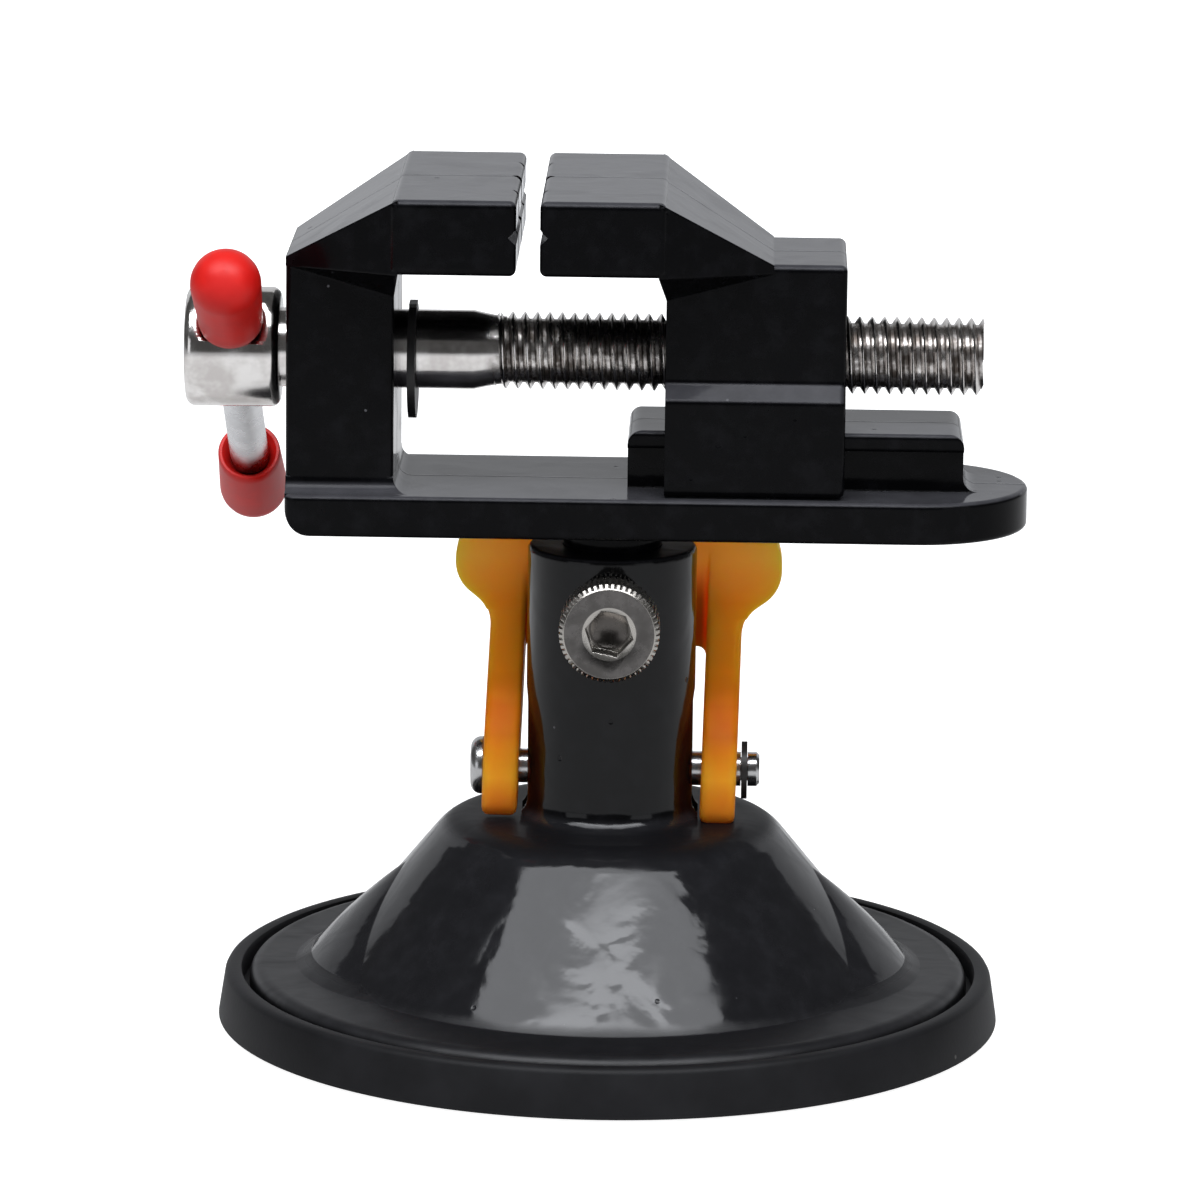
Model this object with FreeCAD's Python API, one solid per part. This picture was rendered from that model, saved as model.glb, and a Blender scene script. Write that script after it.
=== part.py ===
import FreeCAD, Part
import math
import os

from FreeCAD import Vector

# Suction base bench vise, in millimetres. The origin is the centre of the cup's rim on the table.
# X runs along the lead screw with its handle at -X, the lock screw faces -Y and Z points up.

# Plays between pieces
running_gap = 0.05
slide_gap = 0.15
seat_gap = 0.05
loose_gap = 0.3
cut_overrun = 3.0
touching = 0.00001

# Rubber suction cup, drawn as it stands with the lever locked
cup_lip_radius = 39.2
cup_lip_flare = 0.8
cup_height = 5.0
cup_lip_wall = 1.7
cup_web_height = 2.8
cup_web_width = 10.0
cup_land = 2.5
cup_hollow_depth = 3.6
cup_hollow_flat = 12.0
cup_hub_wall = 3.1
cup_hub_foot_width = 2.0
cup_hub_foot_height = 5.6
cup_hub_height = 8.4
cup_edge_round = 0.7

# Pull stud with its disc moulded into the cup's hub
stud_radius = 4.0
stud_disc_radius = 10.4
stud_disc_thickness = 1.5
stud_disc_height = 5.45
stud_above_pin = 5.0
stud_chamfer = 0.6

# Base casting: flange, bell with a buttress on each side, shoulder and post
flange_gap = 0.7
flange_thickness = 2.55
flange_land = 7.6
flange_edge_round = 1.5
bell_rise = 15.7
bell_wall = 2.6
shoulder_land = 3.48
shoulder_round = 5.0
roof_thickness = 3.0
guide_radius = 7.5
guide_drop = 6.0
post_radius = 8.6
post_length = 28.1
post_root_round = 2.0
post_edge_round = 0.5
buttress_drop = 5.5
buttress_reach = 2.0
buttress_base_radius = 22.0
buttress_belly_rise = 4.9
buttress_belly_reach = 1.65
buttress_belly_radius = 12.1
buttress_tip_radius = 0.8
buttress_root_rise = 1.0
buttress_root_flare = 0.9
pin_slot_width = 3.8
pin_slot_above_pin = 8.7
foot_pad_depth = 14.0
foot_pad_rise = 2.6

# Clamping lever: a fork on the pull pin whose feet are cams
pin_above_shoulder = 4.8
lever_swing = 50.0
lever_stroke = 1.7
arm_gap = 0.7
arm_thickness = 3.6
arm_front = 4.6
arm_front_rise = 3.0
arm_bend_round = 8.0
foot_front_round = 1.6
cam_steps = 7
paddle_thickness = 3.6
paddle_gap = 1.1
paddle_height = 13.9
paddle_overhang = 3.9
paddle_flare_low = 3.85
paddle_flare_rise = 2.45
paddle_flare_round = 3.0
paddle_corner_round = 3.4
paddle_top_round = 5.4
paddle_heel_rise = 2.5
paddle_heel_bulge = 0.4
heel_run_share = 0.8
web_corner_round = 0.9

# Lever pin and its retaining clip
pin_radius = 1.75
pin_head_radius = 2.95
pin_head_thickness = 1.3
pin_head_round = 1.1
pin_groove_radius = 1.2
pin_end_length = 1.2
pin_chamfer = 0.3
pin_clip_thickness = 0.6
pin_clip_radius = 2.95
pin_clip_hang = 0.1
pin_clip_stand_off = 0.5

# Swivel spigot under the vise body, and the screw that locks it
spigot_radius = 5.0
spigot_below_lock = 6.6
spigot_chamfer = 0.6
lock_below_post_top = 6.4
lock_groove_depth = 0.9
lock_groove_width = 4.6
lock_shank_radius = 3.0
lock_tip_radius = 2.0
lock_head_radius = 5.05
lock_head_length = 4.5
lock_head_chamfer = 0.55
lock_head_stand_off = 0.7
lock_hex_flats = 5.0
lock_hex_depth = 2.4
lock_hex_turn = 30.0

# Vise body: plate, column, fixed jaw and rail
neck_length = 2.6
plate_thickness = 4.2
plate_left = 32.7
plate_right = 41.9
plate_half_width = 11.5
plate_edge_round = 0.5
plate_heel_round = 2.8
plate_corner_round = 1.2
column_thickness = 10.8
column_half_width = 9.0
column_foot_round = 1.5
column_edge_round = 0.7
column_below_jaw_top = 7.0
jaw_above_screw = 10.25
jaw_depth = 7.5
jaw_half_width = 16.5
jaw_edge_round = 0.7
jaw_gap = 2.35
fixed_jaw_length = 12.35
gusset_drop = 3.4
gusset_lip = 0.9
face_groove_depth = 0.8
face_groove_height_share = 0.52
centre_groove_depth = 1.0
side_groove_depth = 0.6
side_groove_place = 9.0
rail_before_jaw = 3.75
rail_end_land = 6.65
rail_rise = 6.2
rail_half_width = 7.0
rail_flange = 1.8
rail_web_half_width = 4.8
rail_edge_round = 0.5
rail_end_round = 1.4
rail_foot_round = 1.5

# Moving jaw
moving_head_length = 12.45
moving_block_length = 18.0
moving_slope_length = 10.65
moving_block_below_jaw_top = 7.2
skirt_top_below_screw = 1.4
skirt_slope_height = 1.7
moving_skirt_half_width = 10.5
moving_end_round = 0.7
moving_foot_round = 0.9

# Lead screw along X, with a cross-drilled head
screw_above_plate = 13.0
screw_head_gap = 1.0
screw_head_length = 9.5
screw_head_radius = 6.05
screw_head_round = 0.9
screw_radius = 4.0
screw_thread_radius = 3.92
screw_relief_radius = 3.5
screw_shank_past_column = 7.7
screw_relief_taper = 2.3
screw_relief_length = 0.7
screw_end_land = 4.8
screw_end_chamfer = 0.7

# Clip that keeps the lead screw in the column
clip_past_column = 1.15
clip_thickness = 0.8
clip_radius = 5.8
clip_hang = 1.2
clip_groove_radius = 3.0
clip_lug_share = 0.9
clip_mouth_share = 0.95
clip_mouth_turn = -90.0

# Sliding bar of the screw, with its two caps
bar_angle = 35.0
bar_radius = 2.0
bar_hole_gap = 0.15
bar_travel = 20.0
cap_length = 12.0
cap_radius = 3.7
cap_mouth_radius = 3.25
cap_mouth_round = 0.4
cap_dome_round = 3.5
cap_bore_depth = 8.0

# Sizes that follow from the ones above: cup, bell and post
cup_radius = cup_lip_radius + cup_lip_flare
cup_lip_inner = cup_lip_radius - cup_lip_wall
cup_web_inner_radius = cup_lip_inner - cup_web_width
cup_hub_radius = stud_disc_radius + cup_hub_wall
cup_hub_foot_radius = cup_hub_radius + cup_hub_foot_width
flange_radius = cup_lip_inner - flange_gap
flange_bottom = cup_web_height + seat_gap
flange_top = flange_bottom + flange_thickness
arm_inner = post_radius + arm_gap
arm_outer = arm_inner + arm_thickness
bell_foot_radius = flange_radius - flange_land
shoulder_radius = arm_outer + shoulder_land
shoulder_height = flange_top + bell_rise
bell_angle = math.atan2(bell_rise, bell_foot_radius - shoulder_radius)
post_top = shoulder_height + post_length

# Lever, stud and lock screw
pin_height = shoulder_height + pin_above_shoulder
pin_slot_top = pin_height + pin_slot_above_pin
stud_top = pin_height + stud_above_pin
cam_height = pin_above_shoulder - seat_gap
cam_fall = lever_stroke / math.radians(lever_swing)
lock_height = post_top - lock_below_post_top
spigot_end = lock_height - spigot_below_lock
spigot_floor = spigot_end - seat_gap
plate_bottom = post_top + neck_length
paddle_front = post_radius + arm_gap
paddle_back = paddle_front + paddle_thickness
paddle_top = plate_bottom - paddle_gap
paddle_bottom = paddle_top - paddle_height
paddle_half_width = arm_outer + paddle_overhang

# Heights of the vise body and its screw
plate_top = plate_bottom + plate_thickness
rail_top = plate_top + rail_rise
screw_height = plate_top + screw_above_plate
jaw_bottom = screw_height + jaw_above_screw
jaw_top = jaw_bottom + jaw_depth
column_top = jaw_top - column_below_jaw_top
moving_block_top = jaw_top - moving_block_below_jaw_top
moving_skirt_top = screw_height - skirt_top_below_screw
moving_skirt_bottom = moving_skirt_top - skirt_slope_height

# Places along the screw
column_right = column_thickness - plate_left
fixed_jaw_face = column_right + fixed_jaw_length
moving_jaw_face = fixed_jaw_face + jaw_gap
moving_head_back = moving_jaw_face + moving_head_length
moving_shoulder = moving_head_back + moving_slope_length
moving_back = moving_head_back + moving_block_length
rail_left = moving_head_back - rail_before_jaw
rail_right = plate_right - rail_end_land
screw_head_right = -plate_left - screw_head_gap
screw_head_left = screw_head_right - screw_head_length
screw_shank_end = column_right + screw_shank_past_column
screw_relief_start = screw_shank_end + screw_relief_taper
screw_thread_start = screw_relief_start + screw_relief_length
screw_end = plate_right - screw_end_land
thread_bore_radius = screw_thread_radius + running_gap
clip_left = column_right + clip_past_column
bar_place = (screw_head_left + screw_head_right) / 2


def in_xy(point):
    return Vector(point.x, point.y, 0)


def in_xz(point):
    return Vector(point.x, 0, point.y)


def in_yz(point):
    return Vector(0, point.x, point.y)


# A closed wire through corners given as (a, b, round), with an arc where the round isn't zero.
def rounded_wire(corners, place):
    turns = []
    count = len(corners)
    for index, (a, b, radius) in enumerate(corners):
        here = Vector(a, b, 0)
        before = Vector(corners[index - 1][0], corners[index - 1][1], 0)
        after = Vector(corners[(index + 1) % count][0], corners[(index + 1) % count][1], 0)
        if radius == 0:
            turns.append((here, None, here))
            continue
        back = (before - here).normalize()
        ahead = (after - here).normalize()
        half = back.getAngle(ahead) / 2
        run = radius / math.tan(half)
        inward = (back + ahead).normalize()
        middle = here + inward * (radius / math.sin(half) - radius)
        turns.append((here + back * run, middle, here + ahead * run))
    edges = []
    for index, (first, middle, last) in enumerate(turns):
        if middle is not None:
            edges.append(Part.Arc(place(first), place(middle), place(last)).toShape())
        following = turns[(index + 1) % count][0]
        if (following - last).Length > touching:
            edges.append(Part.makeLine(place(last), place(following)))
    return Part.Wire(edges)


def prism(corners, place, start, reach):
    face = Part.Face(rounded_wire(corners, place))
    face.translate(start)
    return face.extrude(reach)


def along_x(corners, low, high):
    return prism(corners, in_yz, Vector(low, 0, 0), Vector(high - low, 0, 0))


def along_y(corners, low, high):
    return prism(corners, in_xz, Vector(0, low, 0), Vector(0, high - low, 0))


def along_z(corners, low, high):
    return prism(corners, in_xy, Vector(0, 0, low), Vector(0, 0, high - low))


def block(x_low, x_high, y_half, z_low, z_high):
    corner = Vector(x_low, -y_half, z_low)
    return Part.makeBox(x_high - x_low, 2 * y_half, z_high - z_low, corner)


# A solid of revolution about Z from corners given as (radius, height, round).
def turned(corners):
    face = Part.Face(rounded_wire(corners, in_xz))
    return face.revolve(Vector(0, 0, 0), Vector(0, 0, 1), 360)


# The same about a line along X at a height, from corners given as (x, radius, round).
def turned_along_x(corners, height):
    face = Part.Face(rounded_wire(corners, in_xz))
    solid = face.revolve(Vector(0, 0, 0), Vector(1, 0, 0), 360)
    solid.translate(Vector(0, 0, height))
    return solid


def rod(start, direction, radius, length):
    return Part.makeCylinder(radius, length, start, direction)


def mirrored_x(shape):
    return shape.mirror(Vector(0, 0, 0), Vector(1, 0, 0))


def round_edges(solid, radius, wanted):
    edges = [edge for edge in solid.Edges if wanted(edge)]
    return solid.makeFillet(radius, edges)


def middle_of(edge):
    return edge.valueAt((edge.FirstParameter + edge.LastParameter) / 2)


def runs_along(edge, direction):
    if edge.Curve.TypeId != "Part::GeomLine":
        return False
    return abs(edge.tangentAt(edge.FirstParameter).dot(direction)) > 1 - touching


def make_suction_cup():
    pocket_radius = stud_disc_radius + running_gap
    pocket_low = stud_disc_height - seat_gap
    pocket_high = stud_disc_height + stud_disc_thickness + seat_gap
    neck_radius = stud_radius + running_gap
    return turned([
        (0, cup_hollow_depth, 0),
        (cup_hollow_flat, cup_hollow_depth, cup_hollow_flat / 2),
        (cup_radius - cup_land, 0, 0),
        (cup_radius, 0, cup_edge_round / 2),
        (cup_lip_radius, cup_height, cup_edge_round),
        (cup_lip_inner, cup_height, cup_edge_round),
        (cup_lip_inner, cup_web_height, 0),
        (cup_web_inner_radius, cup_web_height, 0),
        (cup_hub_foot_radius, cup_hub_foot_height, cup_edge_round),
        (cup_hub_radius, cup_hub_height, cup_edge_round),
        (neck_radius, cup_hub_height, 0),
        (neck_radius, pocket_high, 0),
        (pocket_radius, pocket_high, 0),
        (pocket_radius, pocket_low, 0),
        (0, pocket_low, 0),
    ])


def make_pull_stud():
    disc_top = stud_disc_height + stud_disc_thickness
    stud = turned([
        (0, stud_disc_height, 0),
        (stud_disc_radius, stud_disc_height, 0),
        (stud_disc_radius, disc_top, 0),
        (stud_radius, disc_top, 0),
        (stud_radius, stud_top - stud_chamfer, 0),
        (stud_radius - stud_chamfer, stud_top, 0),
        (0, stud_top, 0),
    ])
    hole_radius = pin_radius + running_gap
    hole_start = Vector(-stud_radius - cut_overrun, 0, pin_height)
    hole = rod(hole_start, Vector(1, 0, 0), hole_radius, 2 * (stud_radius + cut_overrun))
    return stud.cut(hole)


# The bell's outer radius at a height on its straight flank.
def bell_radius(height):
    return bell_foot_radius - (height - flange_top) / math.tan(bell_angle)


# A level circle whose rightmost point is at a given reach on the +X side.
def hoop(reach, radius, height):
    return Part.Wire(Part.makeCircle(radius, Vector(reach - radius, 0, height)))


# One buttress on the +X side: level circles along its bulging crest, flared a little at the foot.
def make_buttress():
    foot_reach = bell_foot_radius + buttress_reach
    belly_height = flange_top + buttress_belly_rise
    tip_height = shoulder_height - buttress_drop
    root_low = flange_top - flange_edge_round
    root_share = buttress_root_rise / buttress_belly_rise
    root_reach = foot_reach + (bell_radius(belly_height) + buttress_belly_reach - foot_reach) * root_share
    root_radius = buttress_base_radius + (buttress_belly_radius - buttress_base_radius) * root_share
    wedge = Part.makeLoft([
        hoop(foot_reach, buttress_base_radius, flange_top),
        hoop(bell_radius(belly_height) + buttress_belly_reach, buttress_belly_radius, belly_height),
        hoop(bell_radius(tip_height), buttress_tip_radius, tip_height),
    ], True, False)
    skirt = Part.makeLoft([
        hoop(foot_reach + buttress_root_flare, buttress_base_radius + buttress_root_flare, flange_top),
        hoop(root_reach, root_radius, flange_top + buttress_root_rise),
    ], True, True)
    root = rod(Vector(foot_reach - buttress_base_radius, 0, root_low), Vector(0, 0, 1),
               buttress_base_radius + buttress_root_flare, flange_edge_round)
    return wedge.fuse([skirt, root])


def make_bell_and_post():
    return turned([
        (0, flange_bottom, 0),
        (flange_radius, flange_bottom, 0),
        (flange_radius, flange_top, flange_edge_round),
        (bell_foot_radius, flange_top, 0),
        (shoulder_radius, shoulder_height, shoulder_round),
        (post_radius, shoulder_height, post_root_round),
        (post_radius, post_top, post_edge_round),
        (0, post_top, 0),
    ])


def make_bell_cavity():
    side_wall = bell_wall / math.sin(bell_angle)
    roof = shoulder_height - roof_thickness
    low = flange_bottom - cut_overrun
    guide_end = roof - guide_drop
    return turned([
        (0, low, 0),
        (bell_radius(low) - side_wall, low, 0),
        (bell_radius(roof) - side_wall, roof, 0),
        (guide_radius, roof, 0),
        (guide_radius, guide_end, 0),
        (0, guide_end, 0),
    ])


def make_post_bores():
    stud_bore_radius = stud_radius + running_gap
    spigot_bore_radius = spigot_radius + running_gap
    bores = turned([
        (0, flange_bottom, 0),
        (stud_bore_radius, flange_bottom, 0),
        (stud_bore_radius, spigot_floor, 0),
        (spigot_bore_radius, spigot_floor, 0),
        (spigot_bore_radius, post_top + cut_overrun, 0),
        (0, post_top + cut_overrun, 0),
    ])
    lock_hole = rod(Vector(0, 0, lock_height), Vector(0, -1, 0),
                    lock_shank_radius + running_gap, post_radius + cut_overrun)
    return bores.fuse(lock_hole)


# The slot that the pull pin moves in, through both sides of the post.
def make_pin_slot():
    half = pin_slot_width / 2
    reach = post_radius + cut_overrun
    return along_x([
        (-half, shoulder_height, 0),
        (half, shoulder_height, 0),
        (half, pin_slot_top, half),
        (-half, pin_slot_top, half),
    ], -reach, reach)


# Flat seats on the shoulder where the lever's feet bear, cut into the post's root round.
def make_foot_pads():
    inner = arm_inner - loose_gap
    pad = block(inner, arm_outer + cut_overrun, foot_pad_depth / 2,
                shoulder_height, shoulder_height + foot_pad_rise)
    return pad.fuse(mirrored_x(pad))


def make_base_casting():
    buttress = make_buttress()
    casting = make_bell_and_post().fuse([buttress, mirrored_x(buttress)])
    casting = casting.cut(make_bell_cavity())
    casting = casting.cut(make_post_bores())
    casting = casting.cut(make_pin_slot())
    return casting.cut(make_foot_pads()).removeSplitter()


# The cam under each foot. Its reach below the pin falls evenly as the lever leans back, so the
# pull pin drops in proportion to the lever's angle.
def cam_point(angle):
    reach = cam_height - cam_fall * angle
    y = reach * math.sin(angle) - cam_fall * math.cos(angle)
    z = -reach * math.cos(angle) - cam_fall * math.sin(angle)
    return Vector(0, y, z)


# The lever seen from the side, about the pin: the cam foot, the leaning arm and the paddle.
def lever_side_face():
    swing = math.radians(lever_swing)
    cam_points = [cam_point(swing * step / cam_steps) for step in range(cam_steps + 1)]
    cam = Part.BSplineCurve()
    cam.interpolate(cam_points)
    foot = cam_points[-1]
    web_low = paddle_bottom - pin_height
    top = paddle_top - pin_height
    heel_run = (paddle_back - foot.y) * heel_run_share
    heel = Vector(0, foot.y + heel_run, foot.z + heel_run * math.tan(swing))
    corner = Vector(0, paddle_back, web_low + paddle_heel_rise)
    bulge = (heel + corner) * 0.5 + Vector(0, paddle_heel_bulge, 0)
    front_low = Vector(0, -arm_front, -cam_height + foot_front_round)
    sole = Vector(0, -arm_front + foot_front_round, -cam_height)
    toe_bend = foot_front_round * (1 - math.cos(math.radians(45)))
    toe = Vector(0, -arm_front + toe_bend, -cam_height + toe_bend)
    front_high = Vector(0, -arm_front, arm_front_rise)
    crook = Vector(0, paddle_front - arm_thickness, web_low + arm_thickness)
    crown = Vector(0, paddle_front, web_low + 2 * arm_thickness)
    back_top = Vector(0, paddle_back, top)
    front_top = Vector(0, paddle_front, top)
    edges = [
        Part.Arc(front_low, toe, sole).toShape(),
        Part.makeLine(sole, cam_points[0]),
        cam.toShape(),
        Part.makeLine(foot, heel),
        Part.Arc(heel, bulge, corner).toShape(),
        Part.makeLine(corner, back_top),
        Part.makeLine(back_top, front_top),
        Part.makeLine(front_top, crown),
        Part.makeLine(crown, crook),
        Part.makeLine(crook, front_high),
        Part.makeLine(front_high, front_low),
    ]
    return Part.Face(Part.Wire(edges))


# The lever seen from the front: two legs, the web between them and the thumb paddle.
def lever_front_corners():
    low = shoulder_height
    flare_start = paddle_bottom + paddle_flare_low
    right = [
        (arm_inner, paddle_bottom, web_corner_round),
        (arm_inner, low, 0),
        (arm_outer, low, 0),
        (arm_outer, flare_start, paddle_flare_round),
        (paddle_half_width, flare_start + paddle_flare_rise, paddle_corner_round),
        (paddle_half_width, paddle_top, paddle_top_round),
    ]
    left = [(-x, z, radius) for x, z, radius in reversed(right)]
    return right + left


def make_lever():
    face = lever_side_face()
    face.translate(Vector(-paddle_half_width, 0, pin_height))
    full = face.extrude(Vector(2 * paddle_half_width, 0, 0))
    bend_heights = (pin_height + arm_front_rise, paddle_bottom + 2 * arm_thickness)

    def on_bend(edge):
        at = middle_of(edge)
        near = min(abs(at.z - height) for height in bend_heights) < touching
        return near and runs_along(edge, Vector(1, 0, 0))
    full = round_edges(full, arm_bend_round, on_bend)
    lever = full.common(along_y(lever_front_corners(), -arm_front, paddle_back))
    lever = lever.cut(block(-arm_inner, arm_inner, paddle_front, shoulder_height, paddle_top))
    hole_reach = arm_outer + cut_overrun
    hole = rod(Vector(-hole_reach, 0, pin_height), Vector(1, 0, 0),
               pin_radius + running_gap, 2 * hole_reach)
    return lever.cut(hole).removeSplitter()


def pin_clip_left():
    return arm_outer + pin_clip_stand_off


def make_lever_pin():
    head_right = -arm_outer - seat_gap
    head_left = head_right - pin_head_thickness
    groove_left = pin_clip_left()
    groove_right = groove_left + pin_clip_thickness + seat_gap
    end = groove_right + pin_end_length
    return turned_along_x([
        (head_left, 0, 0),
        (head_left, pin_head_radius, pin_head_round),
        (head_right, pin_head_radius, 0),
        (head_right, pin_radius, 0),
        (groove_left - seat_gap, pin_radius, 0),
        (groove_left - seat_gap, pin_groove_radius, 0),
        (groove_right, pin_groove_radius, 0),
        (groove_right, pin_radius, 0),
        (end - pin_chamfer, pin_radius, 0),
        (end, pin_radius - pin_chamfer, 0),
        (end, 0, 0),
    ], pin_height)


# A retaining clip in the YZ plane: an open ring, deeper below by its hang, with three lugs that
# reach into the groove. Its mouth is turned from upright about the pin or screw that it holds.
def make_clip(left, thickness, groove_radius, outer_radius, hang, mouth_turn, height):
    inner_radius = (groove_radius + outer_radius - hang) / 2
    lug_width = groove_radius * clip_lug_share
    mouth = groove_radius * clip_mouth_share
    grip = groove_radius + running_gap
    start = Vector(left, 0, height)
    along = Vector(1, 0, 0)
    ring = rod(start - Vector(0, 0, hang), along, outer_radius, thickness)
    ring = ring.cut(rod(start, along, inner_radius, thickness))
    for turn in (mouth_turn + 90, mouth_turn + 180, mouth_turn + 270):
        lug_corner = Vector(left, grip / 2, height - lug_width / 2)
        lug = Part.makeBox(thickness, (inner_radius + outer_radius) / 2 - grip / 2, lug_width, lug_corner)
        lug.rotate(start, along, turn + 90)
        ring = ring.fuse(lug)
    ring = ring.cut(rod(start, along, grip, thickness))
    opening = Part.makeBox(thickness, 2 * mouth, outer_radius + hang + cut_overrun,
                           Vector(left, -mouth, height))
    opening.rotate(start, along, mouth_turn)
    return ring.cut(opening).removeSplitter()


def make_lock_screw():
    tip_reach = spigot_radius - lock_groove_depth + running_gap
    shank_end = spigot_radius + 2 * running_gap
    head_back = post_radius + lock_head_stand_off
    head_front = head_back + lock_head_length
    screw = turned([
        (0, tip_reach, 0),
        (lock_tip_radius, tip_reach, 0),
        (lock_tip_radius, shank_end, 0),
        (lock_shank_radius, shank_end, 0),
        (lock_shank_radius, head_back, 0),
        (lock_head_radius, head_back, 0),
        (lock_head_radius, head_front - lock_head_chamfer, 0),
        (lock_head_radius - lock_head_chamfer, head_front, 0),
        (0, head_front, 0),
    ])
    corner_radius = lock_hex_flats / 2 / math.cos(math.radians(30))
    hexagon = []
    for corner in range(6):
        angle = math.radians(60 * corner + lock_hex_turn)
        hexagon.append((corner_radius * math.cos(angle), corner_radius * math.sin(angle), 0))
    socket = along_z(hexagon, head_front - lock_hex_depth, head_front + cut_overrun)
    screw = screw.cut(socket)
    screw.rotate(Vector(0, 0, 0), Vector(1, 0, 0), 90)
    screw.translate(Vector(0, 0, lock_height))
    return screw


# A solid from its corners and faces, each face a list of corner numbers.
def polyhedron(corners, faces):
    sides = []
    for face in faces:
        ring = [corners[number] for number in face]
        sides.append(Part.Face(Part.makePolygon(ring + ring[:1])))
    solid = Part.Solid(Part.Shell(sides))
    if solid.Volume < 0:
        solid.reverse()
    return solid


# The flared web between the back of a jaw's wide head, which it laps a little, and its narrow
# column or block at x_narrow.
def make_gusset(head_back, lap, x_narrow, narrow_top):
    x_wide = head_back + lap
    wide = jaw_half_width
    slim = column_half_width
    foot = jaw_bottom - gusset_drop
    corners = [
        Vector(x_narrow, -slim, narrow_top),
        Vector(x_narrow, slim, narrow_top),
        Vector(x_narrow, slim, narrow_top - gusset_lip),
        Vector(x_narrow, -slim, narrow_top - gusset_lip),
        Vector(x_wide, -wide, jaw_top),
        Vector(x_wide, wide, jaw_top),
        Vector(x_wide, wide, jaw_bottom),
        Vector(x_wide, -wide, jaw_bottom),
        Vector(head_back, -slim, foot),
        Vector(head_back, slim, foot),
    ]
    faces = [
        [0, 1, 2, 3],
        [4, 5, 6, 7],
        [7, 6, 9, 8],
        [0, 1, 5, 4],
        [0, 3, 7, 4],
        [1, 2, 6, 5],
        [3, 8, 7],
        [2, 9, 6],
        [3, 2, 9, 8],
    ]
    return polyhedron(corners, faces)


# The V-grooves of a gripping face: one along it at mid height and three across it.
def make_face_grooves(face_x, into):
    reach = jaw_half_width + cut_overrun
    middle = jaw_bottom + jaw_depth * face_groove_height_share
    depth = into * face_groove_depth
    lap = into * touching
    grooves = [along_y([
        (face_x - lap, middle - face_groove_depth, 0),
        (face_x + depth, middle, 0),
        (face_x - lap, middle + face_groove_depth, 0),
    ], -reach, reach)]
    places = [(0, centre_groove_depth),
              (side_groove_place, side_groove_depth),
              (-side_groove_place, side_groove_depth)]
    for place, size in places:
        grooves.append(along_z([
            (face_x - lap, place - size, 0),
            (face_x + into * size, place, 0),
            (face_x - lap, place + size, 0),
        ], jaw_bottom - cut_overrun, jaw_top + cut_overrun))
    return grooves


def make_jaw_head(x_low, x_high):
    head = block(x_low, x_high, jaw_half_width, jaw_bottom, jaw_top)
    return head.makeFillet(jaw_edge_round, head.Edges)


def make_plate():
    plate = along_z([
        (-plate_left, -plate_half_width, plate_corner_round),
        (plate_right, -plate_half_width, plate_half_width),
        (plate_right, plate_half_width, plate_half_width),
        (-plate_left, plate_half_width, plate_corner_round),
    ], plate_bottom, plate_top)
    side = along_y([
        (-plate_left, plate_bottom, plate_heel_round),
        (plate_right, plate_bottom, 0),
        (plate_right, plate_top, 0),
        (-plate_left, plate_top, 0),
    ], -plate_half_width, plate_half_width)

    def on_rim(edge):
        at = middle_of(edge)
        return abs(at.z - plate_top) < touching or abs(at.z - plate_bottom) < touching
    return round_edges(plate, plate_edge_round, on_rim).common(side)


def make_column():
    column = block(-plate_left, column_right, column_half_width, plate_top - plate_edge_round, column_top)
    column = round_edges(column, column_edge_round, lambda edge: runs_along(edge, Vector(0, 0, 1)))
    foot = column_foot_round
    skirt_left = -plate_left
    skirt_right = column_right + foot
    skirt_half = column_half_width + foot
    skirt = block(skirt_left, skirt_right, skirt_half, plate_top - plate_edge_round,
                  plate_top + foot)
    for side in (-1, 1):
        hollow = rod(Vector(skirt_left - cut_overrun, side * skirt_half, plate_top + foot),
                     Vector(1, 0, 0), foot, skirt_right - skirt_left + 2 * cut_overrun)
        skirt = skirt.cut(hollow)
    hollow = rod(Vector(skirt_right, -skirt_half - cut_overrun, plate_top + foot),
                 Vector(0, 1, 0), foot, 2 * (skirt_half + cut_overrun))
    return column.fuse(skirt.cut(hollow))


def rail_outline(play):
    half = rail_half_width + play
    web = rail_web_half_width + play
    top = rail_top + play
    under = rail_top - rail_flange - play
    low = plate_top - plate_edge_round - play
    rounding = rail_edge_round
    return [
        (-web, low, 0),
        (web, low, 0),
        (web, under, rounding / 2),
        (half, under, rounding),
        (half, top, rounding),
        (-half, top, rounding),
        (-half, under, rounding),
        (-web, under, rounding / 2),
    ]


def make_rail():
    rail = along_x(rail_outline(0), rail_left, rail_right)
    low = plate_top - plate_edge_round
    side = along_y([
        (rail_left, low, 0),
        (rail_right, low, 0),
        (rail_right, rail_top, rail_end_round),
        (rail_left, rail_top, rail_end_round),
    ], -rail_half_width, rail_half_width)
    foot = rail_foot_round
    root = block(rail_right, rail_right + foot, rail_web_half_width, low, plate_top + foot)
    hollow = rod(Vector(rail_right + foot, -rail_half_width, plate_top + foot), Vector(0, 1, 0),
                 foot, 2 * rail_half_width)
    return rail.common(side).fuse(root.cut(hollow))


def make_spigot():
    waist_low = lock_height - lock_groove_width / 2
    waist_high = lock_height + lock_groove_width / 2
    waist = spigot_radius - lock_groove_depth
    return turned([
        (0, spigot_end, 0),
        (spigot_radius - spigot_chamfer, spigot_end, 0),
        (spigot_radius, spigot_end + spigot_chamfer, 0),
        (spigot_radius, waist_low, 0),
        (waist, waist_low, 0),
        (waist, waist_high, 0),
        (spigot_radius, waist_high, 0),
        (spigot_radius, plate_bottom + plate_edge_round, 0),
        (0, plate_bottom + plate_edge_round, 0),
    ])


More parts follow.
